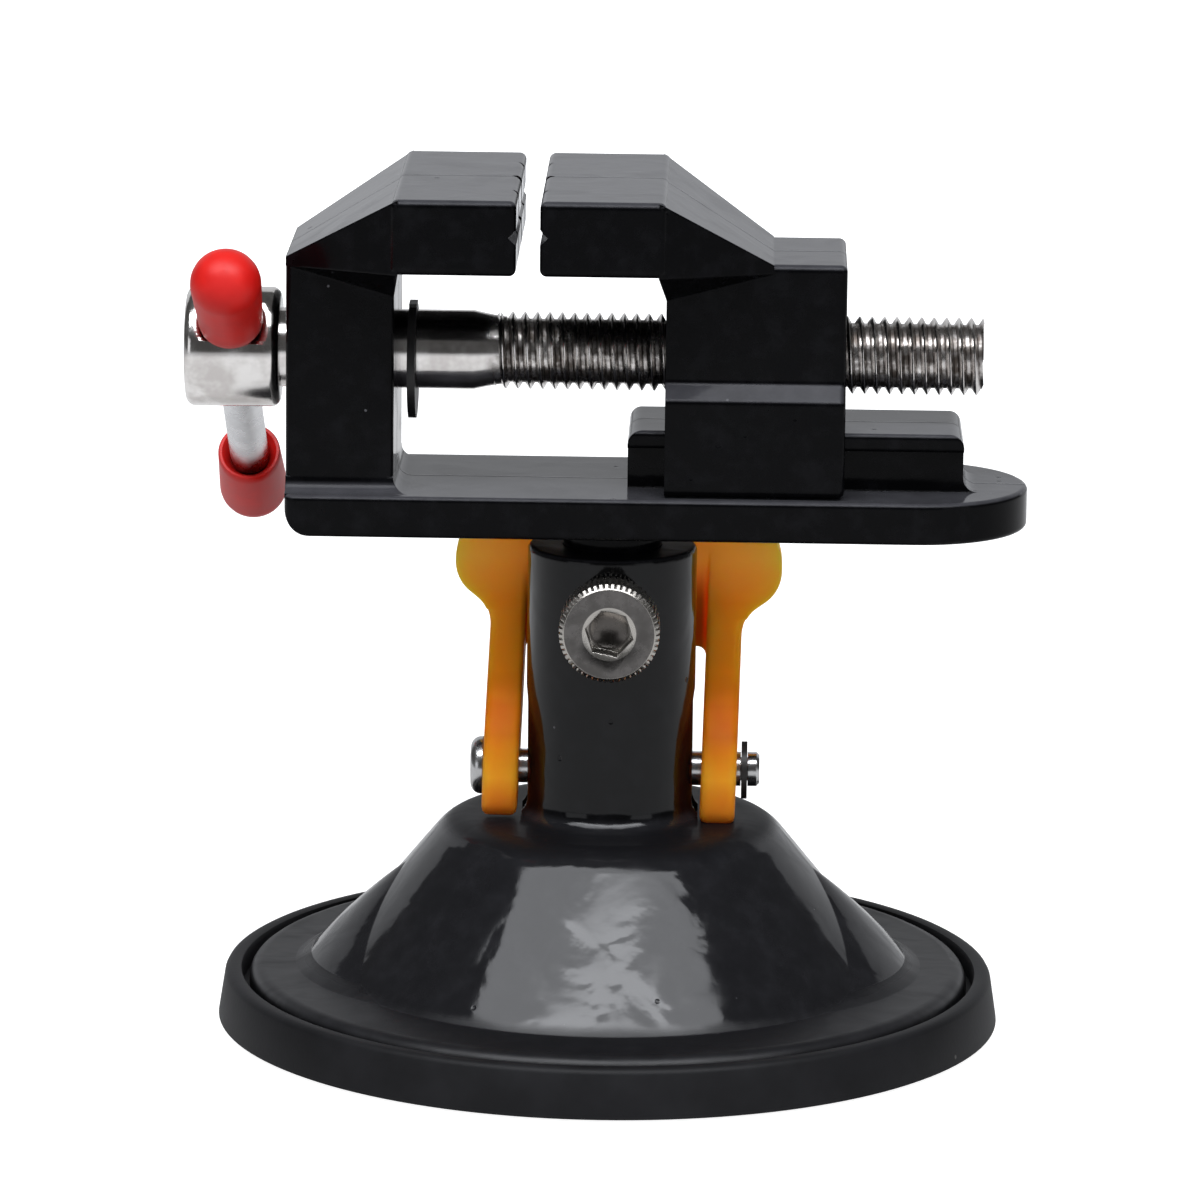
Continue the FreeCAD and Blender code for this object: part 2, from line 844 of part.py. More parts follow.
def make_vise_body():
    head = make_jaw_head(column_right, fixed_jaw_face)
    gusset = make_gusset(column_right, jaw_edge_round, -plate_left, column_top)
    body = make_plate().fuse([make_column(), make_rail(), make_spigot(), head, gusset])
    body = body.cut(make_face_grooves(fixed_jaw_face, -1))
    bore = rod(Vector(-plate_left - cut_overrun, 0, screw_height), Vector(1, 0, 0),
               screw_radius + running_gap, column_thickness + 2 * cut_overrun)
    return body.cut(bore).removeSplitter()


def make_moving_block():
    low = plate_top + slide_gap
    slim = column_half_width
    wide = moving_skirt_half_width
    outline = [
        (-wide, low, moving_foot_round),
        (wide, low, moving_foot_round),
        (wide, moving_skirt_bottom, column_edge_round),
        (slim, moving_skirt_top, column_edge_round),
        (slim, moving_block_top, column_edge_round),
        (-slim, moving_block_top, column_edge_round),
        (-slim, moving_skirt_top, column_edge_round),
        (-wide, moving_skirt_bottom, column_edge_round),
    ]
    body = along_x(outline, moving_head_back, moving_back)

    def on_back(edge):
        return abs(middle_of(edge).x - moving_back) < touching
    return round_edges(body, moving_end_round, on_back)


def make_moving_jaw():
    head = make_jaw_head(moving_jaw_face, moving_head_back)
    gusset = make_gusset(moving_head_back, -jaw_edge_round, moving_shoulder, moving_block_top)
    jaw = make_moving_block().fuse([head, gusset])
    jaw = jaw.cut(make_face_grooves(moving_jaw_face, 1))
    channel = along_x(rail_outline(slide_gap), moving_head_back - cut_overrun,
                      moving_back + cut_overrun)
    bore = rod(Vector(moving_head_back - cut_overrun, 0, screw_height), Vector(1, 0, 0),
               thread_bore_radius, moving_back - moving_head_back + 2 * cut_overrun)
    return jaw.cut(channel).cut(bore).removeSplitter()


def bar_direction():
    angle = math.radians(bar_angle)
    return Vector(0, -math.cos(angle), math.sin(angle))


def make_lead_screw():
    groove_left = clip_left - seat_gap
    groove_right = clip_left + clip_thickness + seat_gap
    screw = turned_along_x([
        (screw_head_left, 0, 0),
        (screw_head_left, screw_head_radius, screw_head_round),
        (screw_head_right, screw_head_radius, screw_head_round),
        (screw_head_right, screw_radius, 0),
        (groove_left, screw_radius, 0),
        (groove_left, clip_groove_radius, 0),
        (groove_right, clip_groove_radius, 0),
        (groove_right, screw_radius, 0),
        (screw_shank_end, screw_radius, 0),
        (screw_relief_start, screw_relief_radius, 0),
        (screw_thread_start, screw_relief_radius, 0),
        (screw_thread_start, screw_thread_radius, 0),
        (screw_end - screw_end_chamfer, screw_thread_radius, 0),
        (screw_end, screw_thread_radius - screw_end_chamfer, 0),
        (screw_end, 0, 0),
    ], screw_height)
    centre = Vector(bar_place, 0, screw_height)
    reach = screw_head_radius + cut_overrun
    cross_hole = rod(centre - bar_direction() * reach, bar_direction(),
                     bar_radius + bar_hole_gap, 2 * reach)
    return screw.cut(cross_hole)


# Stands a solid modelled along +Z on the bar's line, its origin at the screw's axis.
def set_on_bar(solid):
    solid.rotate(Vector(0, 0, 0), Vector(1, 0, 0), 90 - bar_angle)
    solid.translate(Vector(bar_place, 0, screw_height))
    return solid


def cap_mouths():
    upper = screw_head_radius + 2 * running_gap
    return upper, -(upper + bar_travel)


def make_tommy_bar():
    upper, lower = cap_mouths()
    low = lower - cap_bore_depth
    bar = rod(Vector(0, 0, low), Vector(0, 0, 1), bar_radius, upper + cap_bore_depth - low)
    return set_on_bar(bar)


# A soft cap with a mouth at zero height and its rounded end up.
def make_cap():
    bore = bar_radius + running_gap / 2
    return turned([
        (bore, 0, 0),
        (cap_mouth_radius, 0, cap_mouth_round),
        (cap_radius, cap_length, cap_dome_round),
        (0, cap_length, 0),
        (0, cap_bore_depth + seat_gap, 0),
        (bore, cap_bore_depth + seat_gap, 0),
    ])


def make_upper_cap():
    cap = make_cap()
    cap.translate(Vector(0, 0, cap_mouths()[0]))
    return set_on_bar(cap)


def make_lower_cap():
    cap = make_cap()
    cap.rotate(Vector(0, 0, 0), Vector(1, 0, 0), 180)
    cap.translate(Vector(0, 0, cap_mouths()[1]))
    return set_on_bar(cap)


def make_pin_clip():
    return make_clip(pin_clip_left(), pin_clip_thickness, pin_groove_radius, pin_clip_radius,
                     pin_clip_hang, 0, pin_height)


def make_screw_clip():
    return make_clip(clip_left, clip_thickness, clip_groove_radius, clip_radius,
                     clip_hang, clip_mouth_turn, screw_height)


nodes = {
    "base_casting": make_base_casting,
    "suction_cup": make_suction_cup,
    "pull_stud": make_pull_stud,
    "clamp_lever": make_lever,
    "lever_pin": make_lever_pin,
    "lever_pin_clip": make_pin_clip,
    "lock_screw": make_lock_screw,
    "vise_body": make_vise_body,
    "moving_jaw": make_moving_jaw,
    "lead_screw": make_lead_screw,
    "screw_clip": make_screw_clip,
    "tommy_bar": make_tommy_bar,
    "upper_bar_cap": make_upper_cap,
    "lower_bar_cap": make_lower_cap,
}

os.makedirs("parts", exist_ok=True)
for name, make in nodes.items():
    shape = make()
    shape.exportStep(os.path.join("parts", name + ".step"))
    box = shape.BoundBox
    print(name, len(shape.Solids), "solid", "valid" if shape.isValid() else "NOT VALID",
          round(shape.Volume, 1), "mm3",
          [round(value, 2) for value in (box.XMin, box.YMin, box.ZMin, box.XMax, box.YMax, box.ZMax)])
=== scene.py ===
import math
import bpy
from mathutils import Matrix, Vector


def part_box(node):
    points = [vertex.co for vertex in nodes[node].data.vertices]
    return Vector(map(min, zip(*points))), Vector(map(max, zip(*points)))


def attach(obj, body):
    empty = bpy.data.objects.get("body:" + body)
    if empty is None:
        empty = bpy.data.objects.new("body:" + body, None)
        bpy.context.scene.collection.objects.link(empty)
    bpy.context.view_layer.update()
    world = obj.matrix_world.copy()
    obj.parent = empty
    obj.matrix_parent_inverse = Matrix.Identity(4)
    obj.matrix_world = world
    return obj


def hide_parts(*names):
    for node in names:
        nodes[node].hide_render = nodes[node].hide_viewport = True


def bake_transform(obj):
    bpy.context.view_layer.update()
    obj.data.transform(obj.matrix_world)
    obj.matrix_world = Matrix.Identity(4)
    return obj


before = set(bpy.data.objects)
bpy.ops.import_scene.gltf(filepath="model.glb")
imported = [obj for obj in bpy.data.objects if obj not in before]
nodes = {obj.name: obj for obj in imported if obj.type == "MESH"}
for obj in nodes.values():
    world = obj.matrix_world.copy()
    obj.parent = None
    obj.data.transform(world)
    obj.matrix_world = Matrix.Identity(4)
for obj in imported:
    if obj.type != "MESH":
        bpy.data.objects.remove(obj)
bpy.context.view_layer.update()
mm = 0.001
fullTurn = 2 * math.pi
mergeReach = 0.002 * mm     # points nearer than this are one point
axisGap = 0.02 * mm         # a spun outline stays this far from the axis
proud = 0.01 * mm           # a cutting tool stands this far out of the face it cuts
holeSides = 64
levels = {
    # where in a noise pattern's range, from 0 to 1, a change starts and ends
    "drift": (0.35, 0.70),
    "film": (0.45, 0.75),
    "wave": (0.45, 0.70),
    "pale": (0.30, 0.70),
    "stain": (0.40, 0.75),
    "grease": (0.30, 0.65),
}

print("frame loaded:", len(nodes), "nodes")


# Shader helpers

class Signal:
    # a value in a material: an output socket that Python's operators work on
    def __init__(self, shop, socket):
        self.shop = shop
        self.socket = socket

    def maths(self, operation, other, swapped=False):
        pair = (other, self) if swapped else (self, other)
        return self.shop.node("Math", {"operation": operation}, {0: pair[0], 1: pair[1]})

    def __add__(self, other):
        return self.maths("ADD", other)

    def __radd__(self, other):
        return self.maths("ADD", other, True)

    def __sub__(self, other):
        return self.maths("SUBTRACT", other)

    def __rsub__(self, other):
        return self.maths("SUBTRACT", other, True)

    def __mul__(self, other):
        return self.maths("MULTIPLY", other)

    def __rmul__(self, other):
        return self.maths("MULTIPLY", other, True)

    def __truediv__(self, other):
        return self.maths("DIVIDE", other)

    def __pow__(self, other):
        return self.maths("POWER", other)

    def __abs__(self):
        return self.shop.node("Math", {"operation": "ABSOLUTE"}, {0: self})


class Shop:
    # one material and the making of its nodes
    def __init__(self, name):
        self.material = bpy.data.materials.new(name)
        self.material.use_nodes = True
        self.tree = self.material.node_tree
        self.tree.nodes.clear()
        self.place = None

    def node(self, kind, settings=None, feeds=None, output=0):
        made = self.tree.nodes.new("ShaderNode" + kind)
        for key, value in (settings or {}).items():
            if key == "stops":
                self.setStops(made.color_ramp, value)
            else:
                setattr(made, key, value)
        for key, value in (feeds or {}).items():
            self.feed(made.inputs[key], value)
        return Signal(self, made.outputs[output])

    def feed(self, socket, value):
        if isinstance(value, Signal):
            self.tree.links.new(value.socket, socket)
        else:
            socket.default_value = value

    def setStops(self, ramp, stops):
        while len(ramp.elements) < len(stops):
            ramp.elements.new(0.5)
        for element, (place, colour) in zip(ramp.elements, stops):
            element.position = place
            element.color = (*colour, 1)

    def objectPlace(self):
        if self.place is None:
            self.place = self.node("TexCoord", output="Object")
        return self.place

    def along(self, axis):
        # one object coordinate: 0, 1 or 2 for X, Y or Z
        return self.node("SeparateXYZ", None, {"Vector": self.objectPlace()}, axis)

    def fromAxis(self, across, axisHeight):
        # distance from a level axis; across is the coordinate that runs across it
        side = self.along(across)
        height = self.along(2) - axisHeight
        return (side * side + height * height) ** 0.5

    def upward(self, low, high):
        # how far the surface faces up: 0 where its normal's height is low, 1 where it is high
        facing = self.node("TexCoord", output="Normal")
        return self.window(self.node("SeparateXYZ", None, {"Vector": facing}, 2), low, high)

    def noise(self, grain, detail=2.0, roughness=0.5, distortion=0.0, stretch=(1, 1, 1)):
        # grain is the pattern's size in metres
        place = self.node("Mapping", {"vector_type": "POINT"},
                          {"Vector": self.objectPlace(), "Scale": stretch})
        return self.node("TexNoise", None, {"Vector": place, "Scale": 1 / grain, "Detail": detail,
                                            "Roughness": roughness, "Distortion": distortion})

    def clouds(self, grain):
        return self.noise(grain, detail=3.0, roughness=0.6)

    def window(self, value, low, high):
        # 0 at low, 1 at high, smooth between
        return self.node("MapRange", {"interpolation_type": "SMOOTHSTEP"},
                         {"Value": value, "From Min": low, "From Max": high})

    def mixColour(self, share, first, second):
        return self.node("Mix", {"data_type": "RGBA"}, {0: share, 6: first, 7: second}, 2)

    def drift(self, cloud, first, second):
        # a colour that wanders between two with a cloud pattern
        return self.mixColour(self.window(cloud, *levels["drift"]), first, second)

    def bump(self, height, strength, depth, under=None):
        feeds = {"Height": height, "Strength": strength, "Distance": depth}
        if under is not None:
            feeds["Normal"] = under
        return self.node("Bump", None, feeds)

    def edgeRound(self, radius):
        return self.node("Bevel", {"samples": 4}, {"Radius": radius})

    def specks(self, grain, share, radius):
        # sparse dots: a random few of the cells of a Voronoi pattern
        dots = self.tree.nodes.new("ShaderNodeTexVoronoi")
        self.feed(dots.inputs["Scale"], 1 / grain)
        self.feed(dots.inputs["Vector"], self.objectPlace())
        chosen = self.node("SeparateColor", None, {"Color": Signal(self, dots.outputs["Color"])})
        near = self.window(Signal(self, dots.outputs["Distance"]), radius, radius / 2)
        return near * chosen.maths("LESS_THAN", share)

    def principled(self, **sockets):
        feeds = {key.replace("_", " "): value for key, value in sockets.items()}
        return self.node("BsdfPrincipled", None, feeds)

    def show(self, surface):
        out = self.tree.nodes.new("ShaderNodeOutputMaterial")
        self.feed(out.inputs["Surface"], surface)
        return self.material

    def finish(self, **sockets):
        return self.show(self.principled(**sockets))


# Black paint: a thin coat on the vise's castings and a thick one on the bell

paint = {
    "clean": (0.0014, 0.0014, 0.0017, 1),
    "cloudy": (0.0035, 0.0035, 0.0042, 1),
    "dusty": (0.052, 0.052, 0.058, 1),
    "speck": (0.14, 0.14, 0.15, 1),
    "index": 1.5,
    "peelGrain": 1.5 * mm,
    "peelDepth": 0.025 * mm,
    "peelStrength": 0.3,
    "waveGrain": 6.0 * mm,
    "waveStrength": 0.5,
    "waveBreak": 0.45,
    "waveTwist": 0.6,
    "waveRough": 0.08,
    "dustGrain": 2.4 * mm,
    "dustDetail": 4.0,
    "dustBreak": 0.6,
    "dustLeast": 0.4,
    "dustFrom": 0.25,           # from and to are heights of the surface's normal
    "dustTo": 0.7,
    "pitGrain": 2.6 * mm,
    "pitShare": 0.12,
    "pitRadius": 0.13,
    "pitDepth": 0.07 * mm,
    "pitStrength": 0.5,
    "pitRough": 0.25,
    "speckGrain": 1.9 * mm,
    "speckShare": 0.05,
    "speckRadius": 0.09,
    "speckStrength": 0.5,
    "speckRough": 0.3,
    "edgeRadius": 0.3 * mm,
}
visePaint = {
    "gloss": 0.10,
    "waveDepth": 0.06 * mm,
    "haze": 1.0,
    "specular": 0.07,
    "wanderGrain": 5.0 * mm,
    "wander": 0.5 * mm,
    "ridgeCrest": 0.02 * mm,
    "ridgeFoot": 0.22 * mm,
    "ridgeHeight": 0.10 * mm,
    "ridgeStrength": 0.6,
}
bellPaint = {
    "gloss": 0.07,
    "waveDepth": 0.26 * mm,
    "haze": 0.22,
    "specular": 0.24,
    "flangeTop": 5.4 * mm,
    "flangeFade": 1.2 * mm,
    "flangeRough": 0.3,
    # painted shade: the dark coat mixed in on the bell's up-facing parts, most on the shoulder and the
    # post's top under the vise, less on the satin flange
    "shadeAndSatin": (0.004, 0.004, 0.0048, 1),
    "shadeAndSatinRough": 0.5,
    "shadeAndSatinSpecular": 0.08,
    "shadeAndSatinFrom": 0.70,
    "shadeAndSatinTo": 0.93,
    "shadeAndSatinShare": 0.94,
    "flangeShine": 0.5,
}


def paintSurface(shop, coat):
    # the colour, roughness and normal that both paints share
    peel = shop.noise(paint["peelGrain"])
    wave = shop.noise(paint["waveGrain"], roughness=paint["waveBreak"],
                      distortion=paint["waveTwist"])
    dust = shop.noise(paint["dustGrain"], paint["dustDetail"], paint["dustBreak"])
    pits = shop.specks(paint["pitGrain"], paint["pitShare"], paint["pitRadius"])
    dots = shop.specks(paint["speckGrain"], paint["speckShare"], paint["speckRadius"])
    dusting = coat["haze"] * (paint["dustLeast"] + (1 - paint["dustLeast"]) * dust)
    dusting = shop.upward(paint["dustFrom"], paint["dustTo"]) * dusting
    colour = shop.mixColour(shop.window(dust, *levels["film"]), paint["clean"], paint["cloudy"])
    colour = shop.mixColour(dusting, colour, paint["dusty"])
    colour = shop.mixColour(dots * paint["speckStrength"], colour, paint["speck"])
    rough = coat["gloss"] + paint["waveRough"] * shop.window(wave, *levels["wave"])
    rough = rough + paint["pitRough"] * pits + paint["speckRough"] * dots
    normal = shop.edgeRound(paint["edgeRadius"])
    normal = shop.bump(wave, paint["waveStrength"], coat["waveDepth"], normal)
    normal = shop.bump(peel, paint["peelStrength"], paint["peelDepth"], normal)
    normal = shop.bump(pits, paint["pitStrength"], -paint["pitDepth"], normal)
    return colour, rough, normal


def mixVisePaint(coat):
    # the castings' parting line shows along Y = 0
    shop = Shop("castVisePaint")
    colour, rough, normal = paintSurface(shop, coat)
    wander = (shop.noise(coat["wanderGrain"]) - 0.5) * coat["wander"]
    ridge = 1 - shop.window(abs(shop.along(1) + wander), coat["ridgeCrest"], coat["ridgeFoot"])
    normal = shop.bump(ridge, coat["ridgeStrength"], coat["ridgeHeight"], normal)
    return shop.finish(Base_Color=colour, Roughness=rough, Normal=normal, IOR=paint["index"],
                       Specular_IOR_Level=coat["specular"])


def mixBellPaint(coat):
    # painted shade on the shoulder and the post's top, which face up under the vise: a dark, rough coat
    # that reflects little is mixed in on up-facing parts; the flange, rougher, gets less of it for a
    # satin look
    shop = Shop("castBellPaint")
    colour, rough, normal = paintSurface(shop, coat)
    flange = shop.window(shop.along(2), coat["flangeTop"] + coat["flangeFade"], coat["flangeTop"])
    rough = rough + coat["flangeRough"] * flange
    glossy = shop.principled(Base_Color=colour, Roughness=rough, Normal=normal,
                             IOR=paint["index"], Specular_IOR_Level=coat["specular"])
    shadeAndSatin = shop.principled(Base_Color=coat["shadeAndSatin"], Roughness=coat["shadeAndSatinRough"], Normal=normal,
                           IOR=paint["index"], Specular_IOR_Level=coat["shadeAndSatinSpecular"])
    # how much of the painted shade coat each up-facing part gets
    share = coat["shadeAndSatinShare"] - coat["flangeShine"] * flange
    share = shop.upward(coat["shadeAndSatinFrom"], coat["shadeAndSatinTo"]) * share
    return shop.show(shop.node("MixShader", None, {0: share, 1: glossy, 2: shadeAndSatin}))


# Rubber and plastics

rubber = {
    "dark": (0.0045, 0.0045, 0.0052, 1),
    "pale": (0.008, 0.008, 0.0092, 1),
    "speck": (0.12, 0.115, 0.11, 1),
    "grain": 0.5 * mm,
    "grainDepth": 0.05 * mm,
    "grainStrength": 0.25,
    "cloudGrain": 9.0 * mm,
    "speckGrain": 3.2 * mm,
    "speckShare": 0.10,
    "speckRadius": 0.10,
    "speckStrength": 0.6,
    "gloss": 0.46,
    "cloudRough": 0.16,
    "index": 1.5,
    "specular": 0.18,
}
orange = {
    # colours up the lever, with painted light and shade: darker at the bottom of the feet, lighter at the
    # toe round the pin, darker in a band at the arms' bend, lighter up the arms and lightest in the
    # paddle, standing in for light shining through it
    "low": 20 * mm,
    "span": 30 * mm,
    "paintedLightByHeight": [
        (0.04, (0.34, 0.070, 0.006)),
        (0.12, (0.54, 0.150, 0.010)),
        (0.19, (0.68, 0.260, 0.016)),
        (0.26, (0.52, 0.170, 0.008)),
        (0.33, (0.40, 0.090, 0.003)),
        (0.42, (0.50, 0.095, 0.002)),
        (0.52, (0.90, 0.260, 0.012)),
        (0.72, (0.95, 0.300, 0.020)),
        (0.86, (0.97, 0.520, 0.070)),
    ],
    "pale": (0.95, 0.40, 0.020, 1),
    "paleShare": 0.15,
    # painted shade on the web between the arms, where the post shades it
    "web": (0.42, 0.12, 0.006, 1),
    "webShadeShare": 0.85,
    "webWide": 9.6 * mm,
    "webNarrow": 9.0 * mm,
    "webTop": 0.86,             # the painted shade's top on the web, and the height below which it is full, are shares of the span
    "webFull": 0.70,
    "cloudGrain": 10 * mm,
    "grain": 0.8 * mm,
    "grainDepth": 0.03 * mm,
    "grainStrength": 0.12,
    "edgeRadius": 0.5 * mm,
    "gloss": 0.42,
    "cloudRough": 0.12,
    "index": 1.48,
    "specular": 0.08,
    "scatter": 0.9,
    "scatterScale": 8 * mm,
    "scatterRadius": (1.0, 0.60, 0.16),
}
redPlastic = {
    "deep": (0.50, 0.007, 0.005, 1),
    "pale": (0.60, 0.012, 0.008, 1),
    "cloudGrain": 5.0 * mm,
    "grain": 0.6 * mm,
    "grainDepth": 0.03 * mm,
    "grainStrength": 0.15,
    "gloss": 0.36,
    "cloudRough": 0.16,
    "index": 1.5,
    "specular": 0.3,
    "scatter": 0.12,
    "scatterScale": 2 * mm,
    "scatterRadius": (1.0, 0.2, 0.1),
}


def mixRubber(stuff):
    shop = Shop("cupRubber")
    grain = shop.clouds(stuff["grain"])
    cloud = shop.clouds(stuff["cloudGrain"])
    specks = shop.specks(stuff["speckGrain"], stuff["speckShare"], stuff["speckRadius"])
    colour = shop.drift(cloud, stuff["dark"], stuff["pale"])
    colour = shop.mixColour(specks * stuff["speckStrength"], colour, stuff["speck"])
    rough = stuff["gloss"] + stuff["cloudRough"] * cloud
    normal = shop.bump(grain, stuff["grainStrength"], stuff["grainDepth"])
    return shop.finish(Base_Color=colour, Roughness=rough, Normal=normal,
                       IOR=stuff["index"], Specular_IOR_Level=stuff["specular"])


def finishPlastic(shop, stuff, colour, cloud, normal):
    # light enters both plastics a little way
    rough = stuff["gloss"] + stuff["cloudRough"] * cloud
    return shop.finish(Base_Color=colour, Roughness=rough, Normal=normal,
                       IOR=stuff["index"], Specular_IOR_Level=stuff["specular"],
                       Subsurface_Weight=stuff["scatter"], Subsurface_Scale=stuff["scatterScale"],
                       Subsurface_Radius=stuff["scatterRadius"])


def mixOrange(stuff):
    shop = Shop("orangePlastic")
    cloud = shop.noise(stuff["cloudGrain"])
    grain = shop.noise(stuff["grain"])
    height = (shop.along(2) - stuff["low"]) / stuff["span"]
    # painted light and shade by height up the lever
    depth = shop.node("ValToRGB", {"stops": stuff["paintedLightByHeight"]}, {"Fac": height})
    pale = shop.window(cloud, *levels["pale"]) * stuff["paleShare"]
    colour = shop.mixColour(pale, depth, stuff["pale"])
    # painted shade: the web between the arms is darkened, fading out towards the top
    web = shop.window(abs(shop.along(0)), stuff["webWide"], stuff["webNarrow"])
    web = web * shop.window(height, stuff["webTop"], stuff["webFull"])
    colour = shop.mixColour(web * stuff["webShadeShare"], colour, stuff["web"])
    normal = shop.bump(grain, stuff["grainStrength"], stuff["grainDepth"],
                       shop.edgeRound(stuff["edgeRadius"]))
    return finishPlastic(shop, stuff, colour, cloud, normal)


def mixCap(stuff):
    shop = Shop("redCapPlastic")
    cloud = shop.clouds(stuff["cloudGrain"])
    colour = shop.drift(cloud, stuff["deep"], stuff["pale"])
    normal = shop.bump(shop.noise(stuff["grain"]), stuff["grainStrength"], stuff["grainDepth"])
    return finishPlastic(shop, stuff, colour, cloud, normal)


# Metals

turnedSteel = {
    "cloudGrain": 3.0 * mm,
    "cloudRough": 0.10,
    "lineBreak": 0.6,
    "lineDepth": 0.02 * mm,
    "edgeRadius": 0.12 * mm,
}
barSteel = {
    "name": "satinBarSteel",
    "shade": (0.56, 0.56, 0.57, 1),
    "tone": (0.72, 0.72, 0.73, 1),
    "gloss": 0.26,
    "grain": 0.4 * mm,
    "stretch": (1, 1, 1),
    "lines": 0.15,
}
pinSteel = {
    "name": "turnedPinSteel",
    "shade": (0.45, 0.45, 0.45, 1),
    "tone": (0.62, 0.62, 0.62, 1),
    "gloss": 0.2,
    "grain": 0.3 * mm,
    "stretch": (4, 1, 1),
    "lines": 0.3,
}
screwSteel = {
    "shade": (0.60, 0.57, 0.55, 1),
    "tone": (0.84, 0.82, 0.80, 1),
    "grease": (0.09, 0.075, 0.065, 1),
    "greaseGrain": 1.6 * mm,
    "greaseTop": 0.1 * mm,      # below the crests
    "greaseFull": 0.05 * mm,    # above the roots
    "greaseRough": 0.3,
    "gloss": 0.13,
    "grain": 0.3 * mm,
    "stretch": (5, 1, 1),
    "lines": 0.15,
}
lockSteel = {
    "shade": (0.095, 0.090, 0.086, 1),
    "tone": (0.15, 0.142, 0.137, 1),
    "chamfer": (0.42, 0.40, 0.37, 1),
    "sink": (0.44, 0.42, 0.39, 1),
    "socket": (0.10, 0.092, 0.085, 1),
    "edgeFade": 0.05 * mm,
    "sinkFade": 0.03 * mm,
    "socketOut": 0.10 * mm,
    "socketIn": 0.15 * mm,
    "cloudGrain": 2.0 * mm,
    "grain": 0.25 * mm,
    "grainBreak": 0.6,
    "grainDepth": 0.02 * mm,
    "grainStrength": 0.2,
    "edgeRadius": 0.1 * mm,
    "gloss": 0.22,
    "cloudRough": 0.10,
}
oxide = {
    "dark": (0.006, 0.006, 0.007, 1),
    "pale": (0.02, 0.019, 0.018, 1),
    "grain": 1.2 * mm,
    "grainDepth": 0.03 * mm,
    "grainStrength": 0.2,
    "metal": 0.3,
    "gloss": 0.34,
    "cloudRough": 0.2,
}


def mixSteel(steel):
    # bright or dull steel; a stretched grain gives the lines that turning leaves
    shop = Shop(steel["name"])
    cloud = shop.clouds(turnedSteel["cloudGrain"])
    turned = shop.noise(steel["grain"], roughness=turnedSteel["lineBreak"], stretch=steel["stretch"])
    rough = steel["gloss"] + turnedSteel["cloudRough"] * shop.window(cloud, *levels["stain"])
    normal = shop.bump(turned, steel["lines"], turnedSteel["lineDepth"],
                       shop.edgeRound(turnedSteel["edgeRadius"]))
    return shop.finish(Base_Color=shop.drift(cloud, steel["shade"], steel["tone"]), Metallic=1.0,
                       Roughness=rough, Normal=normal)


def mixScrewSteel(steel, axisHeight, root, crest):
    # plated steel that keeps dark grease in the thread's roots
    shop = Shop("platedScrewSteel")
    cloud = shop.clouds(turnedSteel["cloudGrain"])
    turned = shop.noise(steel["grain"], roughness=turnedSteel["lineBreak"], stretch=steel["stretch"])
    grease = shop.clouds(steel["greaseGrain"])
    reach = shop.fromAxis(1, axisHeight)
    deep = shop.window(reach, crest - steel["greaseTop"], root + steel["greaseFull"])
    soiled = deep * shop.window(grease, *levels["grease"])
    colour = shop.drift(cloud, steel["shade"], steel["tone"])
    colour = shop.mixColour(soiled, colour, steel["grease"])
    rough = steel["gloss"] + turnedSteel["cloudRough"] * shop.window(cloud, *levels["stain"])
    rough = rough + steel["greaseRough"] * soiled
    normal = shop.bump(turned, steel["lines"], turnedSteel["lineDepth"])
    return shop.finish(Base_Color=colour, Metallic=1.0, Roughness=rough, Normal=normal)


def mixLockSteel(steel, axisHeight, size):
    # dull grey face, brighter where the chamfer and the sink are polished
    shop = Shop("nickelLockSteel")
    cloud = shop.clouds(steel["cloudGrain"])
    grain = shop.noise(steel["grain"], roughness=steel["grainBreak"])
    reach = shop.fromAxis(0, axisHeight)
    rim = size["headRadius"] - size["chamfer"]
    colour = shop.drift(cloud, steel["shade"], steel["tone"])
    outer = shop.window(reach, rim - steel["edgeFade"], rim)
    colour = shop.mixColour(outer, colour, steel["chamfer"])
    sink = size["sinkRadius"]
    inner = shop.window(reach, sink + steel["sinkFade"], sink - steel["edgeFade"])
    colour = shop.mixColour(inner, colour, steel["sink"])
    wall = size["flats"] / 2
    socket = shop.window(reach, wall + steel["socketOut"], wall - steel["socketIn"])
    colour = shop.mixColour(socket, colour, steel["socket"])
    rough = steel["gloss"] + steel["cloudRough"] * cloud
    normal = shop.bump(grain, steel["grainStrength"], steel["grainDepth"],
                       shop.edgeRound(steel["edgeRadius"]))
    return shop.finish(Base_Color=colour, Metallic=1.0, Roughness=rough, Normal=normal)


def mixOxide(steel):
    shop = Shop("blackOxide")
    cloud = shop.clouds(steel["grain"])
    colour = shop.mixColour(cloud, steel["dark"], steel["pale"])
    rough = steel["gloss"] + steel["cloudRough"] * cloud
    normal = shop.bump(cloud, steel["grainStrength"], steel["grainDepth"])
    return shop.finish(Base_Color=colour, Metallic=steel["metal"], Roughness=rough, Normal=normal)


# Modelling helpers

def clearSelection():
    if bpy.context.mode != "OBJECT":
        bpy.ops.object.mode_set(mode="OBJECT")
    bpy.ops.object.select_all(action="DESELECT")


def choose(piece):
    clearSelection()
    piece.select_set(True)
    bpy.context.view_layer.objects.active = piece


def openUp(piece):
    # edit mode with the whole mesh selected
    choose(piece)
    bpy.ops.object.mode_set(mode="EDIT")
    bpy.ops.mesh.select_all(action="SELECT")


def closeUp(piece):
    # merges doubled points and turns the faces outwards
    openUp(piece)
    bpy.ops.mesh.remove_doubles(threshold=mergeReach)
    bpy.ops.mesh.normals_make_consistent(inside=False)
    bpy.ops.object.mode_set(mode="OBJECT")


